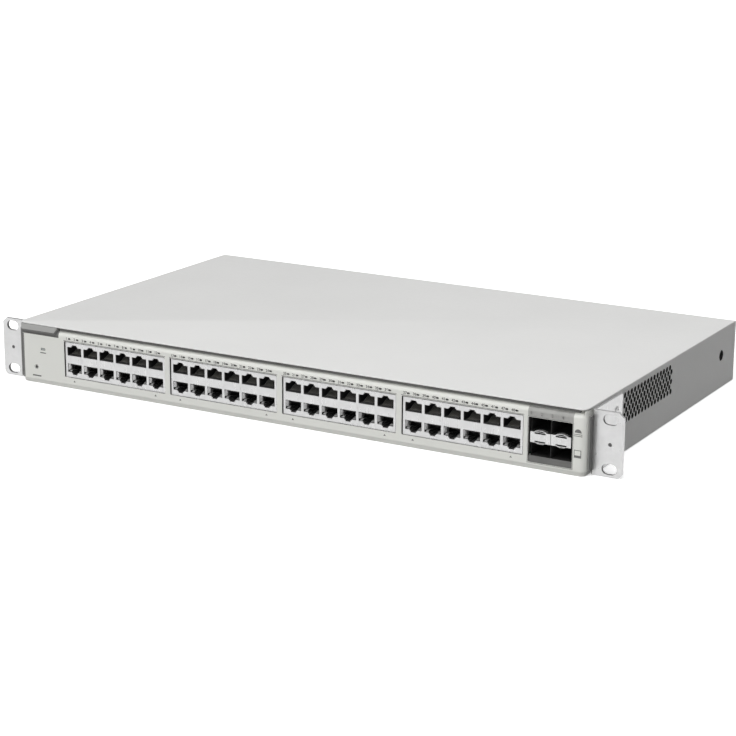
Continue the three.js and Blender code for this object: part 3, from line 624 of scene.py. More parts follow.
def front_bezel():
    """A tray with round ends, a chamfered foot and a groove under the cover's front edge."""
    rear = along(BEZEL_DEPTH)
    top = BEZEL_HIGH.z
    wall = 2.4
    foot = ((1.3, 0.0), (0.75, 2.3), (0.7, 2.8), (0.0, 3.1))
    rings = [level(chassis_plan(inset, rear), z) for inset, z in foot]
    for inset, down in BEZEL_TOP_EDGE:
        rings.append(level(chassis_plan(inset, rear), top - down))
    form = Build("bezel").rings(rings)
    pivot, cheek = HALF - CORNER, HALF - 3.2
    for side in (1, -1):
        curve = arc(pivot, along(CORNER), CORNER - 0.2, 310, 360)
        outline = [(side * x, y) for x, y in [(cheek, rear), *curve, (HALF - 0.2, rear)]]
        form.prism(outline, "z", top - 5.2, top - 0.1)
    # The cut walls of the windows and recesses take this dark grey: painted shade inside the openings.
    holes = Build("painted_shade")
    holes.block((wall - HALF, along(wall), wall), (HALF - wall, rear + 1, top - 4.2))
    face_cut = ("y", FACE - 1, along(3))
    for x in GROUPS:
        holes.prism(rounded(x - 43.2, 8.2, x + 43.2, 34.2, 0.6), *face_cut)
        holes.block((x - 43.2, along(0.5), 6.4), (x + 43.2, along(3), 33))
        add_led_windows(holes, x, 2 * COLUMNS, PITCH / 2)
    holes.prism(rounded(SFP_X - 15, 4.6, SFP_X + 15, 33.8, 0.6), *face_cut)
    add_led_windows(holes, SFP_X, 4, SFP_PITCH / 2)
    holes.disc("y", RESET.x, RESET.z, 1.2, FACE - 1, along(3), 20)
    x, z = STATUS.x, STATUS.z
    holes.prism(rounded(x - 1.9, z - 0.9, x + 1.9, z + 0.9, 0.4), *face_cut)
    plate_low, plate_high = span("name_plate")
    left, right, bottom = -HALF - 1, plate_high.x + 1.0, plate_low.z - 1.6
    holes.block((left, FACE - 1, bottom), (right, along(1.5), top + 1))
    form.piece("front_bezel_shell", "bezel_paint", 0.16, ["front_bezel"], cuts=[holes])
    # Painted shade: dark backs in the recess behind the name plate and in the groove under the cover's
    # front edge.
    shade_backs = Build("gasket_and_shade")
    shade_backs.block((2.2 - HALF, along(1.25), bottom + 0.1), (right - 0.1, along(1.5), top - 1.4))
    shade_backs.block((right + 0.2, along(1.9), top - 1.5), (HALF - CORNER, along(4.3), top - 0.3))
    shade_backs.piece("bezel_painted_shades", "black_moulding", 0.1)
    # Painted shade: dark strips in the gaps between the bezel's ends and the ears, and a dark skin on the
    # left end's rounding.
    end_shades = Build("painted_shade")
    for side in (1, -1):
        near, far = sorted((side * (HALF + 0.15), side * (HALF + 1.3)))
        end_shades.block((near, along(3), 3), (far, along(7.6), top - 3.5))
    left_end_shade = arch(-pivot, along(CORNER), CORNER - 0.3, CORNER + 0.05, 200, 257)
    end_shades.prism(left_end_shade, "z", 3.2, bottom - 0.2)
    end_shades.piece("bezel_end_shades", "plate_grey", 0.1)


def add_led_windows(form, x, count, pitch):
    for i in range(count):
        place = x + (i - (count - 1) / 2) * pitch
        form.prism(rounded(place - 1.0, 35.7, place + 1.0, 36.9, 0.3, 3), "y", FACE - 1, along(3))


def name_plate():
    """Blank grey plate with a slanted end, over a darker lip that stands a little behind it. The lip's
    dark grey is painted shadow under the plate.
    """
    low, high = span("name_plate")
    slant, lip = 3.4, 1.2
    left = 1.7 - HALF

    def outline(bottom, slant_foot):
        return [
            (left, bottom),
            (high.x - slant, bottom),
            (high.x - slant_foot, bottom + slant),
            (high.x - slant_foot, high.z),
            (left, high.z),
        ]

    form = Build("plate", "painted_shade").prism(outline(low.z + lip, 0.5), "y", low.y, high.y - 0.1)
    # The lip: painted shadow under the plate.
    form.use(1).prism(outline(low.z, 0), "y", low.y + 0.35, high.y)
    form.piece("name_plate_blank", "plate_grey", 0.1, ["name_plate"])


def rack_ear(side):
    """An L bracket with a bend against the chassis. side is 1 for the right and -1 for the left."""
    name = "rack_ear_right" if side > 0 else "rack_ear_left"
    low, high = span(name)
    inner, outer = min(abs(low.x), abs(high.x)), max(abs(low.x), abs(high.x))
    thick, bend = 2.0, 1.1
    plan = [(outer, low.y), (outer, low.y + thick)]
    plan += arc(inner + thick + 0.6, low.y + thick + 0.6, 0.6, 270, 180)
    plan += [(inner + thick, high.y), (inner, high.y)]
    plan += arc(inner + bend, low.y + bend, bend, 180, 270)
    form = Build("ear").prism([(side * x, y) for x, y in plan], "z", low.z, high.z)
    # The cuts' walls take a dark grey: painted shade in the slots, the middle dimple and the screw holes.
    trim_off, cut = Build("ear"), Build("edge_shade")
    front, back = low.y - 1, low.y + thick + 1

    def corner(points):
        trim_off.prism([(side * x, z) for x, z in points], "y", front, back)

    past, clip, drop, radius = outer + 1, 3.5, 3, 4
    slant = [(outer - clip, high.z + 1), (outer - clip, high.z), (outer, high.z - drop)]
    corner([(past, high.z + 1), *slant, (past, high.z - drop)])
    round_low = arc(outer - radius, low.z + radius, radius, 270, 360, 8)
    corner([(past, low.z - 1), (outer - radius, low.z - 1), *round_low, (past, low.z + radius)])
    slot_x, slot_apart, centre = 465.1 / 2, 31.75, (low.z + high.z) / 2
    for z in (centre - slot_apart / 2, centre + slot_apart / 2):
        cut.prism(slot_outline(side * slot_x, z, 10, 6.8), "y", front, back)
    cut.disc("y", side * slot_x, centre, 1.2, front, low.y + 0.45, 20)
    ends = sorted((side * (inner - 1), side * (inner + thick + 1)))
    for edge, out, trim in ((low.z, -1, 5), (high.z, 1, 1)):
        rise = edge - out * trim
        heel = [(high.y - trim, edge + out), (high.y + 1, edge + out), (high.y + 1, rise)]
        trim_off.prism([*heel, (high.y, rise), (high.y - trim, edge)], "x", *ends)
    word = name.rsplit("_", 1)[1]
    for i in (1, 2, 3):
        place = middle(f"ear_screw_{word}_{i}")
        cut.disc("x", place.y, place.z, 1.9, *ends, 16)
    form.piece(name + "_bracket", "ear_steel", 0.15, [name], cuts=[trim_off, cut])


def screw_data(name, radius, head, shank, length, metal="screw"):
    """Pan-head screw along z with a cross recess. Its head starts at z = 0."""
    profile = [(0, -length), (shank * 0.8, -length), (shank, 0.4 - length), (shank, 0), (radius, 0)]
    for i in range(7):
        angle = math.radians(15 * i)
        profile.append((radius * (0.45 + 0.55 * math.cos(angle)), head * (0.35 + 0.65 * math.sin(angle))))
    profile.append((0, head))
    form = Build(metal).lathe(profile, "z", 0, 0, 32)
    # The cross recess's walls are dark grey: painted shade.
    recess = Build("edge_shade")
    arm, half_width = radius * 0.58, radius * 0.13
    for a, b in ((arm, half_width), (half_width, arm)):
        rings = []
        for share, z in ((0.35, head * 0.15), (1, head + 0.3)):
            u, v = max(a * share, half_width), max(b * share, half_width)
            rings.append(level(rectangle(-u, -v, u, v), z))
        recess.rings(rings)
    return carved_data(name, form, recess)


def place_screw(data, node, direction, head):
    piece = loose(node + "_head", data)
    turn = Vector(direction).to_track_quat("Z", "Y").to_matrix().to_4x4()
    piece.matrix_world = Matrix.Translation(seat(node, direction, head) * MM) @ turn
    settle(soften(piece, 0.08), [node])


def screws():
    ear = screw_data("ear_screw", 2.1, 0.7, 1.5, 2.0, "ear")
    for word, side in (("right", 1), ("left", -1)):
        for i in (1, 2, 3):
            place_screw(ear, f"ear_screw_{word}_{i}", (side, 0, 0), 1.1)
    cover = screw_data("cover_screw", 2.8, 1.5, 1.4, 3.0)
    for i in (1, 2, 3):
        place_screw(cover, f"cover_screw_{i}", (0, 1, 0), 1.5)
    board = screw_data("board_screw", 2.9, 1.4, 1.3, 2.5)
    for i in (1, 2, 3, 4):
        place_screw(board, f"board_screw_{i}", (0, 0, 1), 1.4)
    place_screw(screw_data("earth_screw_form", 4.0, 2.2, 2.0, 6.0), "earth_screw", (0, 1, 0), 2.2)


# ---- Port groups ----
def port_outline(column, side, grow=0.0):
    """One port's opening, on the upper (side 1) or lower (side -1) row of a group at x = 0."""
    x = (column - (COLUMNS - 1) / 2) * PITCH
    half = [
        (PORT_HALF + grow, PORT_NEAR - grow),
        (PORT_HALF + grow, PORT_MAIN + grow),
        (NOTCH_HALF + grow, PORT_MAIN + grow),
        (NOTCH_HALF + grow, PORT_MAIN + 0.8 + grow),
        (CATCH_HALF + grow, PORT_MAIN + 0.8 + grow),
        (CATCH_HALF + grow, PORT_NOTCH + grow),
    ]
    mirrored = [(-u, v) for u, v in reversed(half)]
    return [(x + u, MID_LINE + side * v) for u, v in half + mirrored]


def every_port():
    return [(column, side) for column in range(COLUMNS) for side in (1, -1)]


def shield_data():
    low, high = span("rj45_shield_1")
    low.y -= PORT_FORWARD
    half = (high.x - low.x) / 2
    skin = 0.4
    form = Build("nickel").block((-half, low.y, low.z), (half, high.y, high.z))
    holes = Build()
    holes.block((skin - half, low.y + skin, low.z - 1), (half - skin, high.y + 1, high.z - skin))
    for column, side in every_port():
        holes.prism(port_outline(column, side, 0.15), "y", low.y - 1, low.y + 1)
    for column in range(1, COLUMNS):
        x = (column - COLUMNS / 2) * PITCH
        holes.block((x - 0.1, low.y - 1, MID_LINE - 1.6), (x + 0.1, low.y + 0.15, MID_LINE + 1.6))
    return carved_data("shield", form, holes)


def housing_data():
    low, high = span("rj45_housing_1")
    low.y -= PORT_FORWARD
    half = (high.x - low.x) / 2
    depth = 14.0
    form = Build("port").block((-half, low.y, low.z), (half, high.y, high.z))
    holes = Build()
    for column, side in every_port():
        holes.prism(port_outline(column, side), "y", low.y - 1, low.y + depth)
    return carved_data("housing", form, holes)


def contact_data():
    """Eight sprung wires and a comb in each port, with earth springs in each lower port."""
    form = Build("gold", "port", "nickel")
    wires, wire_pitch = 8, 1.02
    front = span("rj45_housing_1")[0].y - PORT_FORWARD
    for column, side in every_port():
        x = (column - (COLUMNS - 1) / 2) * PITCH
        near = MID_LINE + side * PORT_NEAR
        path = [(0.9, 0.3), (1.6, 0.55), (3.4, 1.3), (7.4, 3.1), (9.4, 3.5), (13.0, 3.5)]
        points = [(front + y, near + side * rise) for y, rise in path]
        for i in range(wires):
            form.use(0).strip((x + (i - (wires - 1) / 2) * wire_pitch, points), 0.46, 0.28)
        low, high = sorted((near, near + side * 0.9))
        for i in range(wires + 1):
            rib = x + (i - wires / 2) * wire_pitch
            form.use(1).block((rib - 0.14, front + 0.2, low), (rib + 0.14, front + 3.6, high))
        if side < 0:
            add_earth_springs(form, x, near)
    return form.data("contacts")


def add_earth_springs(form, x, top):
    """Bowed metal springs on both walls of a port, and on its floor beside the notch."""
    front = span("rj45_shield_1")[0].y + 0.5 - PORT_FORWARD
    bow = [(0.0, 0.1), (1.6, 1.1), (3.3, 1.35), (5.3, 0.5), (7.3, 0.05)]
    floor_z = MID_LINE - PORT_MAIN
    for hand in (-1, 1):
        wall = x + hand * PORT_HALF
        outer = [(wall - hand * bulge, front + y) for y, bulge in bow]
        inner = [(u + hand * 0.2, y) for u, y in reversed(outer)]
        form.use(2).prism(outer + inner, "z", top - 4.4, top - 0.5)
        rise = [(front + y, floor_z + 0.12 + bulge * 0.8) for y, bulge in bow]
        form.strip((x + hand * (PORT_HALF + NOTCH_HALF) / 2, rise), 2.0, 0.2)


def port_groups():
    shield, housing, contacts = shield_data(), housing_data(), contact_data()
    for i, x in enumerate(GROUPS, 1):
        for name, data, width, slot, nodes in (
            ("rj45_shield_skin", shield, 0.08, "nickel_shell", [f"rj45_shield_{i}"]),
            ("rj45_housing_body", housing, 0.12, "black_moulding", [f"rj45_housing_{i}"]),
            ("rj45_contacts", contacts, 0.0, "black_moulding", []),
        ):
            piece = loose(f"{name}_{i}", data)
            piece.location.x = x * MM
            if width:
                soften(piece, width)
            settle(piece, nodes)


def sfp_cage():
    """Two by two cage with bowed latch lips along its middle band and a grey strip under it."""
    low, high = span("sfp_cage")
    form = Build("nickel").block(low, high)
    # The pockets and slits are cut with near-black walls: painted shade in the slots, the cut-back rims
    # and the slits.
    pockets = Build("cavity_shade")
    slits = Build("cavity_shade")
    lips = Build("nickel")
    lower_edge, upper_edge = SFP_ROWS[0] + SFP_TALL / 2, SFP_ROWS[1] - SFP_TALL / 2
    bow, bow_up, ends = 8.3, 7.1, 31.2  # radius of a lip, its centre's distance and its half angle
    rim = low.y + 3
    for left, right in ((low.x - 1, low.x + 0.8), (high.x - 0.8, high.x + 1)):
        pockets.block((left, low.y - 1, low.z - 1), (right, rim, high.z + 1))
    pockets.block((low.x - 1, low.y - 1, high.z - 0.8), (high.x + 1, rim, high.z + 1))
    for x in (SFP_X - SFP_PITCH / 2, SFP_X + SFP_PITCH / 2):
        for z in SFP_ROWS:
            start = (x - SFP_WIDE / 2, low.y - 1, z - SFP_TALL / 2)
            pockets.block(start, (x + SFP_WIDE / 2, high.y - 1, z + SFP_TALL / 2))
            middle_rim = (SFP_X - 0.5, low.y - 1, z - SFP_TALL / 2)
            pockets.block(middle_rim, (SFP_X + 0.5, rim - 2.3, z + SFP_TALL / 2))
        for edge, side, facing in ((upper_edge, 1, 90), (lower_edge, -1, 270)):
            centre = edge - side * (bow_up + (0.4 if side < 0 else 0))
            band = arch(x, centre, bow - 0.5, bow, facing - ends, facing + ends)
            lips.prism(band, "y", low.y + 0.15, low.y + 3.4)
            slit = edge - side * 0.75
            slits.prism(slot_outline(x, slit, 7.6, 0.9), "y", low.y - 1, low.y + 0.7)
    slits.block((SFP_X - 0.12, low.y - 1, lower_edge), (SFP_X + 0.12, low.y + 0.25, upper_edge))
    form.piece("sfp_cage_shell", "nickel_shell", 0.08, ["sfp_cage"], cuts=[pockets, slits])
    lips.piece("sfp_latch_lips", "nickel_shell", 0.12)
    strip = Build("gasket_and_shade").prism(
        rounded(SFP_X - 14.8, 4.7, SFP_X + 14.8, 8.7, 0.3), "y", along(0.35), along(1.0)
    )
    strip.piece("sfp_strip", "black_moulding", 0.12)


# A contact wire's path: depth in the mouth and height off its middle.
SFP_WIRE = ((0.3, 0.85), (1.6, 0.4), (5.6, 0.75))


def sfp_connectors():
    """Card-edge connectors: a mouth with ten contacts above and ten below."""
    for row in ("lower", "upper"):
        for column in ("left", "right"):
            node = f"sfp_connector_{row}_{column}"
            low, high = span(node)
            x, z = (low.x + high.x) / 2, (low.z + high.z) / 2
            form = Build("black").block(low, high)
            slot = rounded(x - 4.8, z - 0.9, x + 4.8, z + 0.9, 0.3)
            mouth = Build().prism(slot, "y", low.y - 1, low.y + 6)
            form.piece(node + "_body", "black_moulding", 0.15, [node], cuts=[mouth])
            wires = Build("gold")
            for i in range(10):
                place = x + (i - 4.5) * 0.8
                for side in (-1, 1):
                    bent = [(low.y + y, z + side * rise) for y, rise in SFP_WIRE]
                    wires.strip((place, bent), 0.35, 0.15)
            wires.piece(node + "_wires", "nickel_shell")


# ---- Print on the bezel, and a painted shadow line over each port group ----
MARK_DEPTH = 0.03


def print_outline(form, outline):
    form.prism(outline, "y", FACE - MARK_DEPTH, FACE + MARK_DEPTH)


def print_frame(form, low, high, line):
    (x0, z0), (x1, z1) = low, high
    print_outline(form, rectangle(x0, z0, x1, z0 + line))
    print_outline(form, rectangle(x0, z1 - line, x1, z1))
    print_outline(form, rectangle(x0, z0 + line, x0 + line, z1 - line))
    print_outline(form, rectangle(x1 - line, z0 + line, x1, z1 - line))


def print_number(form, number, x, z, size):
    curve = bpy.data.curves.new("number", "FONT")
    curve.body = str(number)
    curve.size = size
    curve.extrude = MARK_DEPTH
    curve.offset = 0.06
    curve.align_x = "CENTER"
    curve.align_y = "CENTER"
    writer = loose("number", curve)
    bpy.context.view_layer.update()
    shown = writer.evaluated_get(bpy.context.evaluated_depsgraph_get())
    flat = bpy.data.meshes.new_from_object(shown)
    flat.transform(Matrix.Translation((x, FACE, z)) @ Matrix.Rotation(math.pi / 2, 4, "X"))
    form.mesh.from_mesh(flat)
    bpy.data.objects.remove(writer)
    bpy.data.meshes.remove(flat)


def bezel_print():
    """Port numbers, a thin dark line over each group that is painted shadow along the top of its window,
    and plain marks beside the other parts.
    """
    form = Build("ink_and_shade", "sfp_band")
    number = 1
    for x in GROUPS:
        for i in range(2 * COLUMNS):
            place = x + (i - COLUMNS + 0.5) * PITCH / 2
            print_number(form, number, place - 2.5, 36.3, 2.6)
            number += 1
        for column in (0, COLUMNS - 1):
            place = x + (column - (COLUMNS - 1) / 2) * PITCH
            print_outline(form, [(place - 0.9, 5.2), (place + 0.9, 5.2), (place, 6.5)])
        # Painted shadow: a dark line along the top of the group's window.
        print_outline(form, rounded(x - 43.6, 34.55, x + 43.6, 34.9, 0.1, 2))
    # A grey band over the SFP slots, and the same grey on a skin over the bezel's top rounding above it.
    form.use(1)
    print_outline(form, rounded(SFP_X - 15.4, 34.2, SFP_X + 15.4, 37.4, 0.3))
    edge = [(along(inset), BEZEL_HIGH.z - down) for inset, down in BEZEL_TOP_EDGE[:5]]
    skin = [(y - 0.08, z + 0.04) for y, z in edge]
    skin += [(y + 0.1, z - 0.1) for y, z in reversed(edge)]
    form.prism(skin, "x", SFP_X - 15.4, SFP_X + 15.4)
    form.use(0)
    for i in range(4):
        place = SFP_X + (i - 1.5) * SFP_PITCH / 2
        print_number(form, i + 1, place - 2.4, 36.3, 2.6)
    print_frame(form, (SFP_X - 15.5, 4.0), (SFP_X + 15.5, 34.3), 0.28)
    form.hoop(RESET.x, RESET.z, 1.75, 1.55, FACE - MARK_DEPTH, FACE + MARK_DEPTH)
    print_outline(form, rounded(RESET.x - 3.8, 5.2, RESET.x + 3.8, 6.2, 0.3, 3))
    print_outline(form, rounded(STATUS.x - 2.6, 22.7, STATUS.x + 2.6, 23.4, 0.3, 3))
    mark_x = 214.6
    print_outline(form, arc(mark_x, 28.3, 2.3, 0, 180, 12))
    for z in (26.0, 27.1):
        print_outline(form, rounded(mark_x - 2.9, z, mark_x + 2.9, z + 0.35, 0.1, 2))
    print_frame(form, (mark_x - 2.4, 13.4), (mark_x + 2.4, 17.2), 0.35)
    print_outline(form, rounded(mark_x - 2.4, 12.2, mark_x + 2.4, 13.4, 0.1, 2))
    form.piece("bezel_print", "bezel_paint")


# ---- Controls ----
def reset_button():
    """A dished plunger with a stepped foot. It rides the joint."""
    low, high = span("reset_button")
    x, z = RESET.x, RESET.z
    tip = [(0.0, 0.25), (0.45, 0.15), (0.7, 0.0), (0.85, 0.2)]  # radius, depth behind the front
    foot = [(0.85, 1.3), (1.2, 1.0), (1.7, 0.9), (1.7, 0.1), (1.6, 0), (0.0, 0)]  # ahead of the rear
    profile = [(radius, low.y + depth) for radius, depth in tip]
    profile += [(radius, high.y - ahead) for radius, ahead in foot]
    form = Build("black").lathe(profile, "y", x, z, 20)
    form.piece("reset_plunger_pin", "black_moulding", 0.06, ["reset_button"], "reset_plunger")


def reset_switch():
    """Tactile switch lying behind the button: a moulded body, a metal face and four legs."""
    low, high = span("reset_switch")
    form = Build("black", "tin")
    form.block((low.x, low.y + 0.6, low.z), (high.x, high.y, high.z))
    form.use(1).block((low.x + 0.3, low.y + 0.3, low.z + 0.3), (high.x - 0.3, low.y + 0.6, high.z - 0.3))
    for x in (low.x + 0.8, high.x - 0.8):
        for y in (low.y + 1.6, high.y - 1.4):
            form.block((x - 0.3, y - 0.2, low.z - 0.25), (x + 0.3, y + 0.2, low.z + 1.2))
    holes = Build().disc("y", RESET.x, RESET.z, 2.0, low.y - 1, low.y + 2.4, 24)
    form.piece("reset_switch_body", "black_moulding", 0.1, ["reset_switch"], cuts=[holes])


# ---- Rear ----
def ac_inlet():
    """Three-pin inlet with a rounded rim, a chamfered mouth and three metal blades."""
    low, high = span("ac_inlet")
    x, z = (low.x + high.x) / 2, (low.z + high.z) / 2
    rim = 2.2
    wall = REAR - SHEET
    form = Build("black")
    form.block((low.x + rim, low.y, low.z + rim), (high.x - rim, wall + 0.3, high.z - rim))
    form.prism(rounded(low.x, low.z, high.x, high.z, 2.4, 6), "y", wall, high.y)
    bevel = 5.0
    wide, tall = 12, 8  # half sizes of the mouth
    mouth = [
        (x - wide, z - tall),
        (x + wide, z - tall),
        (x + wide, z + tall - bevel),
        (x + wide - bevel, z + tall),
        (x - wide + bevel, z + tall),
        (x - wide, z + tall - bevel),
    ]
    island = [(x + (u - x) * 0.74, z + (v - z) * 0.66) for u, v in mouth]
    holes = Build().prism(mouth, "y", wall - 16.5, high.y + 1)
    form.piece("ac_inlet_body", "inlet_plastic", 0.3, ["ac_inlet"], cuts=[holes])
    core = Build("black").prism(island, "y", wall - 16.8, wall - 14.5)
    core.piece("ac_inlet_core", "inlet_plastic", 0.4)
    blades = Build("tin")
    for u, v in ((-7, -2), (7, -2), (0, 2.2)):
        blades.prism(rounded(x + u - 1, z + v - 2, x + u + 1, z + v + 2, 0.4), "y", wall - 17, wall - 3)
    blades.piece("ac_inlet_blades", "screw_steel", 0.35)


def earth_mark():
    """Washer under the earth screw, and the usual earth symbol printed above it."""
    place = middle("earth_screw")
    washer = Build("screw")
    washer.hoop(place.x, place.z, 4.6, 2.3, REAR - 1.28, REAR - 0.98, 32)
    washer.piece("earth_washer", "screw_steel", 0.05)
    face = REAR - SHEET - 0.3
    mark = Build("ink_and_shade")
    low_z = place.z + 6.5
    mark.block((place.x - 0.2, face - 0.03, low_z + 1.8), (place.x + 0.2, face + 0.04, low_z + 4.2))
    for i, half in enumerate((0.5, 1.1, 1.7)):
        z = low_z + 0.7 * i
        mark.block((place.x - half, face - 0.03, z), (place.x + half, face + 0.04, z + 0.3))
    mark.piece("earth_symbol", "cover_paint")


# ---- Inside ----
# A small capacitor's can: radius and height above the board.
CAN = ((3.1, 0), (3.1, 0.8), (2.9, 1.1), (3.1, 1.4), (3.1, 8.6), (2.8, 9))


def board_parts():
    """Small parts over the main board: chip capacitors, chip packages with legs, tall capacitors."""
    form = Build("chip", "tin", "sleeve", "fins", "nylon")
    low, high = span("main_board")
    surface = high.z
    pick = random.Random(11)
    taken = []
    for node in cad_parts:
        a, b = span(node)
        if node not in ("main_board", "top_cover", "base_pan", "front_bezel") and a.z < surface + 25:
            taken.append((a.x - 2, a.y - 2, b.x + 2, b.y + 2))

    def clear(x, y, reach):
        if not (low.x + 4 < x < high.x - 4 and low.y + 4 < y < high.y - 4):
            return False
        return all(not (a - reach < x < c + reach and b - reach < y < d + reach) for a, b, c, d in taken)

    def spot(reach):
        for _ in range(60):
            x, y = pick.uniform(low.x, high.x), pick.uniform(low.y, high.y)
            if clear(x, y, reach):
                taken.append((x - reach, y - reach, x + reach, y + reach))
                return x, y
        return None

    for _ in range(9):
        place = spot(6)
        if place:
            add_package(form, *place, surface, pick.choice((5, 7)))
    for _ in range(10):
        place = spot(5)
        if place:
            x, y = place
            form.use(2).lathe([(radius, surface + rise) for radius, rise in CAN], "z", x, y, 24)
            form.use(3).disc("z", x, y, 2.5, surface + 8.9, surface + 9.05, 24)
    end = 0.28  # half of a chip part's metal end
    for _ in range(150):
        place = spot(1.6)
        if place:
            x, y = place
            u, v = pick.choice(((0.8, 0.4), (0.4, 0.8)))
            form.use(pick.choice((0, 4))).block((x - u, y - v, surface), (x + u, y + v, surface + 0.7))
            for s in (-1, 1):
                a, b = (s * u, 0) if u > v else (0, s * v)
                low_corner = (x + a - end, y + b - end, surface)
                form.use(1).block(low_corner, (x + a + end, y + b + end, surface + 0.74))
    form.piece("board_parts", "chip_epoxy")


def add_package(form, x, y, surface, half):
    """A flat chip package with a chamfered top and legs along two sides."""
    rings = []
    for reach, rise in ((half, 0.2), (half, 0.9), (half - 0.25, 1.5)):
        rings.append(level(rectangle(x - reach, y - reach, x + reach, y + reach), surface + rise))
    form.use(0).rings(rings)
    for i in range(int(2 * half / 0.8)):
        v = y - half + 0.5 + i * 0.8
        for s in (-1, 1):
            ends = sorted((x + s * half, x + s * (half + 1.1)))
            form.use(1).block((ends[0], v - 0.18, surface), (ends[1], v + 0.18, surface + 0.25))


def transformer():
    """Ferrite core around a taped winding, on a former."""
    low, high = span("psu_transformer")
    form = Build("ferrite", "tape", "black")
    leg = 7.0
    form.block((low.x, low.y + 3, low.z + 1.5), (low.x + leg, high.y - 3, high.z - 1))
    form.block((high.x - leg, low.y + 3, low.z + 1.5), (high.x, high.y - 3, high.z - 1))
    form.block((low.x, low.y + 3, high.z - leg), (high.x, high.y - 3, high.z))
    winding = rounded(low.x + leg + 0.4, low.y + 0.2, high.x - leg - 0.4, high.y - 0.2, 4)
    form.use(1).prism(winding, "z", low.z + 3, high.z - leg + 0.6)
    form.use(2).block((low.x + 2, low.y, low.z), (high.x - 2, high.y, low.z + 2.6))
    form.piece("transformer_body", "transformer_tape", 0.3, ["psu_transformer"])


def bulk_capacitor():
    """Sleeved can with a rolled groove, a bare top and a light stripe."""
    low, high = span("psu_bulk_capacitor")
    x, y = (low.x + high.x) / 2, (low.y + high.y) / 2
    radius = (high.x - low.x) / 2
    form = Build("sleeve", "fins", "nylon")
    foot = [(0.6, 0), (0, 0.6), (0, 2.6), (0.7, 3.2), (0, 3.9)]  # set in from the radius, height
    rim = [(0, 1.2), (1.2, 0.1), (2, 0.1)]  # set in from the radius, distance below the top
    profile = [(radius - inset, low.z + rise) for inset, rise in foot]
    profile += [(radius - inset, high.z - drop) for inset, drop in rim]
    form.lathe(profile, "z", x, y, 48)
    lid = [(radius - 1.8, high.z - 0.2), (radius - 2, high.z), (0, high.z)]
    form.use(1).lathe(lid, "z", x, y, 48)
    stripe = arc(x, y, radius + 0.04, 250, 285) + arc(x, y, radius - 0.1, 285, 250)
    form.use(2).prism(stripe, "z", low.z + 5, high.z - 2.5)
    form.piece("bulk_capacitor_can", "capacitor_sleeve", 0.2, ["psu_bulk_capacitor"])


def dc_harness():
    """Four wires from the supply to the main board, between two white plugs."""
    low, high = span("dc_harness")
    form = Build("wire", "wire_red", "nylon")
    start = Vector((high.x - 2, high.y - 1, low.z + 1.9))
    end = Vector((low.x + 2, low.y + 1, low.z + 1.9))
    across = Vector((end.y - start.y, start.x - end.x, 0)).normalized()
    for i in range(4):
        shift = across * (i - 1.5) * 0.95
        path = []
        for step in range(13):
            share = step / 12
            lift = 2.0 * math.sin(math.pi * share) + 0.15 * (i % 2)
            path.append(start.lerp(end, share) + shift + Vector((0, 0, lift)))
        form.use(i % 2).tube(path, 0.5, 10)
    for point in (start, end):
        form.use(2).block(point - Vector((2.1, 1.4, 1.9)), point + Vector((2.1, 1.4, 1.4)))
    form.piece("dc_wires", "wire_pvc", 0.12, ["dc_harness"])


# ---- Fan ----
def fan_frame():
    """Square frame with a flared bore, four corner holes, a motor mount and four struts."""
    low, high = span("fan_frame")
    y, z = (low.y + high.y) / 2, (low.z + high.z) / 2
    bore, hub, hole_reach = 19.2, 10.5, 16.0
    form = Build("black").prism(rounded(low.y, low.z, high.y, high.z, 3, 5), "x", low.x, high.x)
    holes = Build()
    flare = [(1, -0.5), (0.6, 0), (0, 2.5)]  # past the bore, depth in from a face
    profile = [(bore + past, low.x + depth) for past, depth in flare]
    profile += [(bore + past, high.x - depth) for past, depth in reversed(flare)]
    holes.lathe(profile, "x", y, z, 64)
    for a in (-hole_reach, hole_reach):
        for b in (-hole_reach, hole_reach):
            holes.disc("x", y + a, z + b, 1.75, low.x - 1, high.x + 1, 20)
    for a in (-1, 1):
        for b in (-1, 1):
            near_y, far_y = sorted((y + a * 14.2, y + a * 21))
            near_z, far_z = sorted((z + b * 14.2, z + b * 21))
            holes.block((low.x + 3.5, near_y, near_z), (high.x - 3.5, far_y, far_z))
    form.piece("fan_frame_body", "fan_plastic", 0.25, ["fan_frame"], cuts=[holes])
    mount = Build("black")
    mount.disc("x", y, z, hub, high.x - 2.4, high.x, 40)
    for i in range(4):
        angle = math.radians(90 * i + 20)
        out = Vector((math.cos(angle), math.sin(angle)))
        aside = Vector((-out.y, out.x))
        strut = rectangle(hub - 1, -1.3, bore + 0.5, 1.3)
        quad = [Vector((y, z)) + out * r + aside * w for r, w in strut]
        mount.prism(quad, "x", high.x - 2.4, high.x)
    mount.piece("fan_mount", "fan_plastic", 0.3)


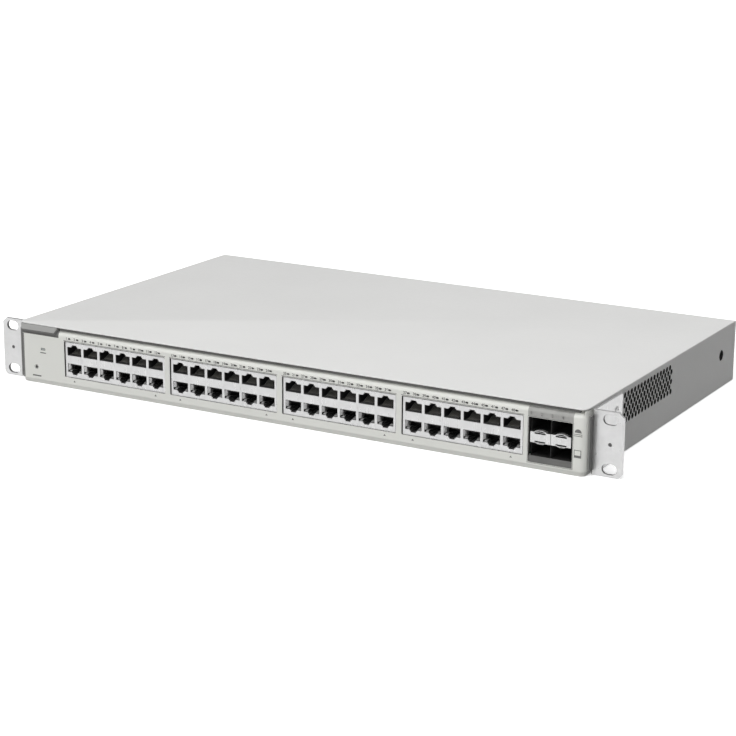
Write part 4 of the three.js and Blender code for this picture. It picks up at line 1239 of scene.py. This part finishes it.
def fan_rotor():
    """Hub with a rounded cap and seven twisted, cambered blades. It rides the fan's joint."""
    low, high = span("fan_rotor")
    hub_place = middle("fan_frame")
    y, z = hub_place.y, hub_place.z
    hub, tip = 10.5, 18.4
    form = Build("black")
    rear = high.x - 2.5
    cap = [(0, low.x), (hub - 1.6, low.x), (hub - 0.5, low.x + 0.4), (hub, low.x + 1.5)]
    skirt = [(hub, rear), (hub - 1.4, rear), (hub - 1.4, low.x + 2)]
    form.lathe(cap + skirt, "x", y, z, 48)
    centre_x = (low.x + high.x - 2.4) / 2
    for i in range(7):
        rings = []
        for step in range(6):
            share = step / 5
            radius = hub - 0.6 + (tip - hub + 0.6) * share
            azimuth = 2 * math.pi * i / 7 + 0.16 * share
            slant = math.radians(52 - 18 * share)
            chord = 12.5
            out = Vector((0, math.cos(azimuth), math.sin(azimuth)))
            around = Vector((0, -math.sin(azimuth), math.cos(azimuth)))
            run = Vector((math.cos(slant), 0, 0)) + around * math.sin(slant)
            face = Vector((-math.sin(slant), 0, 0)) + around * math.cos(slant)
            origin = Vector((centre_x, y, z)) + out * radius
            upper, lower = [], []
            for k in range(7):
                part = k / 6 - 0.5
                camber = 1.5 * (0.25 - part * part)
                half_thick = 0.55 * math.sqrt(max(0.02, 1 - (2 * part) ** 2))
                base = origin + run * chord * part * (1 - 0.12 * share) + face * camber
                upper.append(base + face * half_thick)
                lower.append(base - face * half_thick)
            rings.append(upper + lower[::-1])
        form.rings(rings)
    form.piece("fan_rotor_wheel", "fan_plastic", 0.15, ["fan_rotor"], "fan_wheel")


# ---- CAD nodes that stay ----
# Each one's material and edge.
KEPT = {
    "base_pan": ("cover", 0.2),
    "light_pipe_sfp": ("smoky", 0.08),
    "status_lens": ("clear", 0.12),
    "main_board": ("board", 0.05),
    "switch_chip": ("chip", 0.25),
    "switch_chip_heatsink": ("fins", 0.12),
    "psu_board": ("psu_board", 0.05),
    "psu_heatsink": ("fins", 0.12),
    **{f"light_pipe_{i}": ("smoky", 0.08) for i in (1, 2, 3, 4)},
    **{f"magnetics_bank_{i}": ("chip", 0.3) for i in (1, 2, 3, 4)},
    **{f"phy_chip_{i}": ("chip", 0.2) for i in (1, 2)},
    **{f"phy_heatsink_{i}": ("fins", 0.12) for i in (1, 2)},
}


def finish_kept_nodes():
    for node, (material, edge) in KEPT.items():
        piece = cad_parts[node]
        piece.data.materials.clear()
        piece.data.materials.append(MATERIALS[material])
        soften(piece, edge)


# ---- Floor, light and camera ----
def floor():
    """A wide white floor that gives the object no light of its own."""
    reach = 9000
    form = Build("floor")
    under = -0.05  # just below what stands on it
    corners = level(rectangle(-reach, -reach, reach, reach), under)
    form.face([form.mesh.verts.new(corner) for corner in corners])
    piece = loose("floor", form.data("floor"))
    piece.visible_diffuse = False


def backdrop():
    """A white wall round the floor, seen by the camera alone."""
    reach, height = 8000, 9000
    wall = [level(circle(0, 0, reach, 48), z) for z in (-1, height)]
    form = Build("backdrop").rings(wall, capped=False)
    piece = loose("backdrop", form.data("backdrop"))
    for ray in ("diffuse", "glossy", "transmission", "shadow"):
        setattr(piece, "visible_" + ray, False)


def sky(front, side, overhead, below):
    """A plain soft sky: dim to the left and right, with its own values overhead and below."""
    world = bpy.data.worlds.new("sky")
    bpy.context.scene.world = world
    world.use_nodes = True
    tree = world.node_tree

    def node(kind, *sources, **values):
        """A node fed by sockets and values, in the order of its inputs. None skips one."""
        made = tree.nodes.new("ShaderNode" + kind)
        for key, value in values.items():
            setattr(made, key, value)
        for socket, source in zip(made.inputs, sources):
            if isinstance(source, bpy.types.NodeSocket):
                tree.links.new(source, socket)
            elif source is not None:
                socket.default_value = source
        return made.outputs

    def ramp(source, begin, end, low=0.0, high=1.0):
        return node("MapRange", source, begin, end, low, high)["Result"]

    def blend(share, first, second):
        return node("Mix", share, None, first, second)[0]

    direction = node("SeparateXYZ", node("TexCoord")["Generated"])
    sideways = node("Math", direction["X"], operation="ABSOLUTE")[0]
    level_light = blend(ramp(sideways, 0.25, 0.7), front, side)
    raised = blend(ramp(direction["Z"], 0.3, 0.85), level_light, overhead)
    lowered = ramp(direction["Z"], 0.0, -0.3)
    dimmed = node("Math", raised, ramp(lowered, 0.0, 1.0, 1.0, below), operation="MULTIPLY")[0]
    back = tree.nodes["Background"]
    back.inputs["Color"].default_value = (1, 1, 1, 1)
    tree.links.new(dimmed, back.inputs["Strength"])


def sun(name, direction, strength, softness, mirrored=True):
    """A distant soft light that shines along a direction. Shiny pieces mirror it or don't."""
    data = bpy.data.lights.new(name, "SUN")
    data.energy = strength
    data.angle = math.radians(softness)
    lamp = loose(name, data)
    lamp.rotation_euler = Vector(direction).to_track_quat("-Z", "Y").to_euler()
    lamp.visible_glossy = mirrored


def camera():
    """A long lens from the right and above, level but for a third of a degree."""
    yaw, pitch, roll = math.radians(29.60), math.radians(15.22), math.radians(0.318)
    data = bpy.data.cameras.new("camera")
    data.sensor_width = 36.0
    data.lens = 99.83
    piece = loose("camera", data)
    turn = (
        Matrix.Rotation(yaw, 4, "Z")
        @ Matrix.Rotation(math.pi / 2 - pitch, 4, "X")
        @ Matrix.Rotation(roll, 4, "Z")
    )
    piece.matrix_world = Matrix.Translation((0.6936, -1.23765, 0.3945)) @ turn
    bpy.context.scene.camera = piece


top_cover()
vent_screen()
front_bezel()
name_plate()
rack_ear(1)
rack_ear(-1)
screws()
port_groups()
sfp_cage()
sfp_connectors()
bezel_print()
reset_button()
reset_switch()
ac_inlet()
earth_mark()
board_parts()
transformer()
bulk_capacitor()
dc_harness()
fan_frame()
fan_rotor()
finish_kept_nodes()

floor()
backdrop()
sky(front=0.60, side=0.02, overhead=0.59, below=0.60)
sun("key", (0, 0.36, -0.89), 1.52, 40)
sun("fill", (0, 1, -0.15), 1.0, 30, mirrored=False)
camera()
bpy.context.scene.view_settings.view_transform = "Standard"
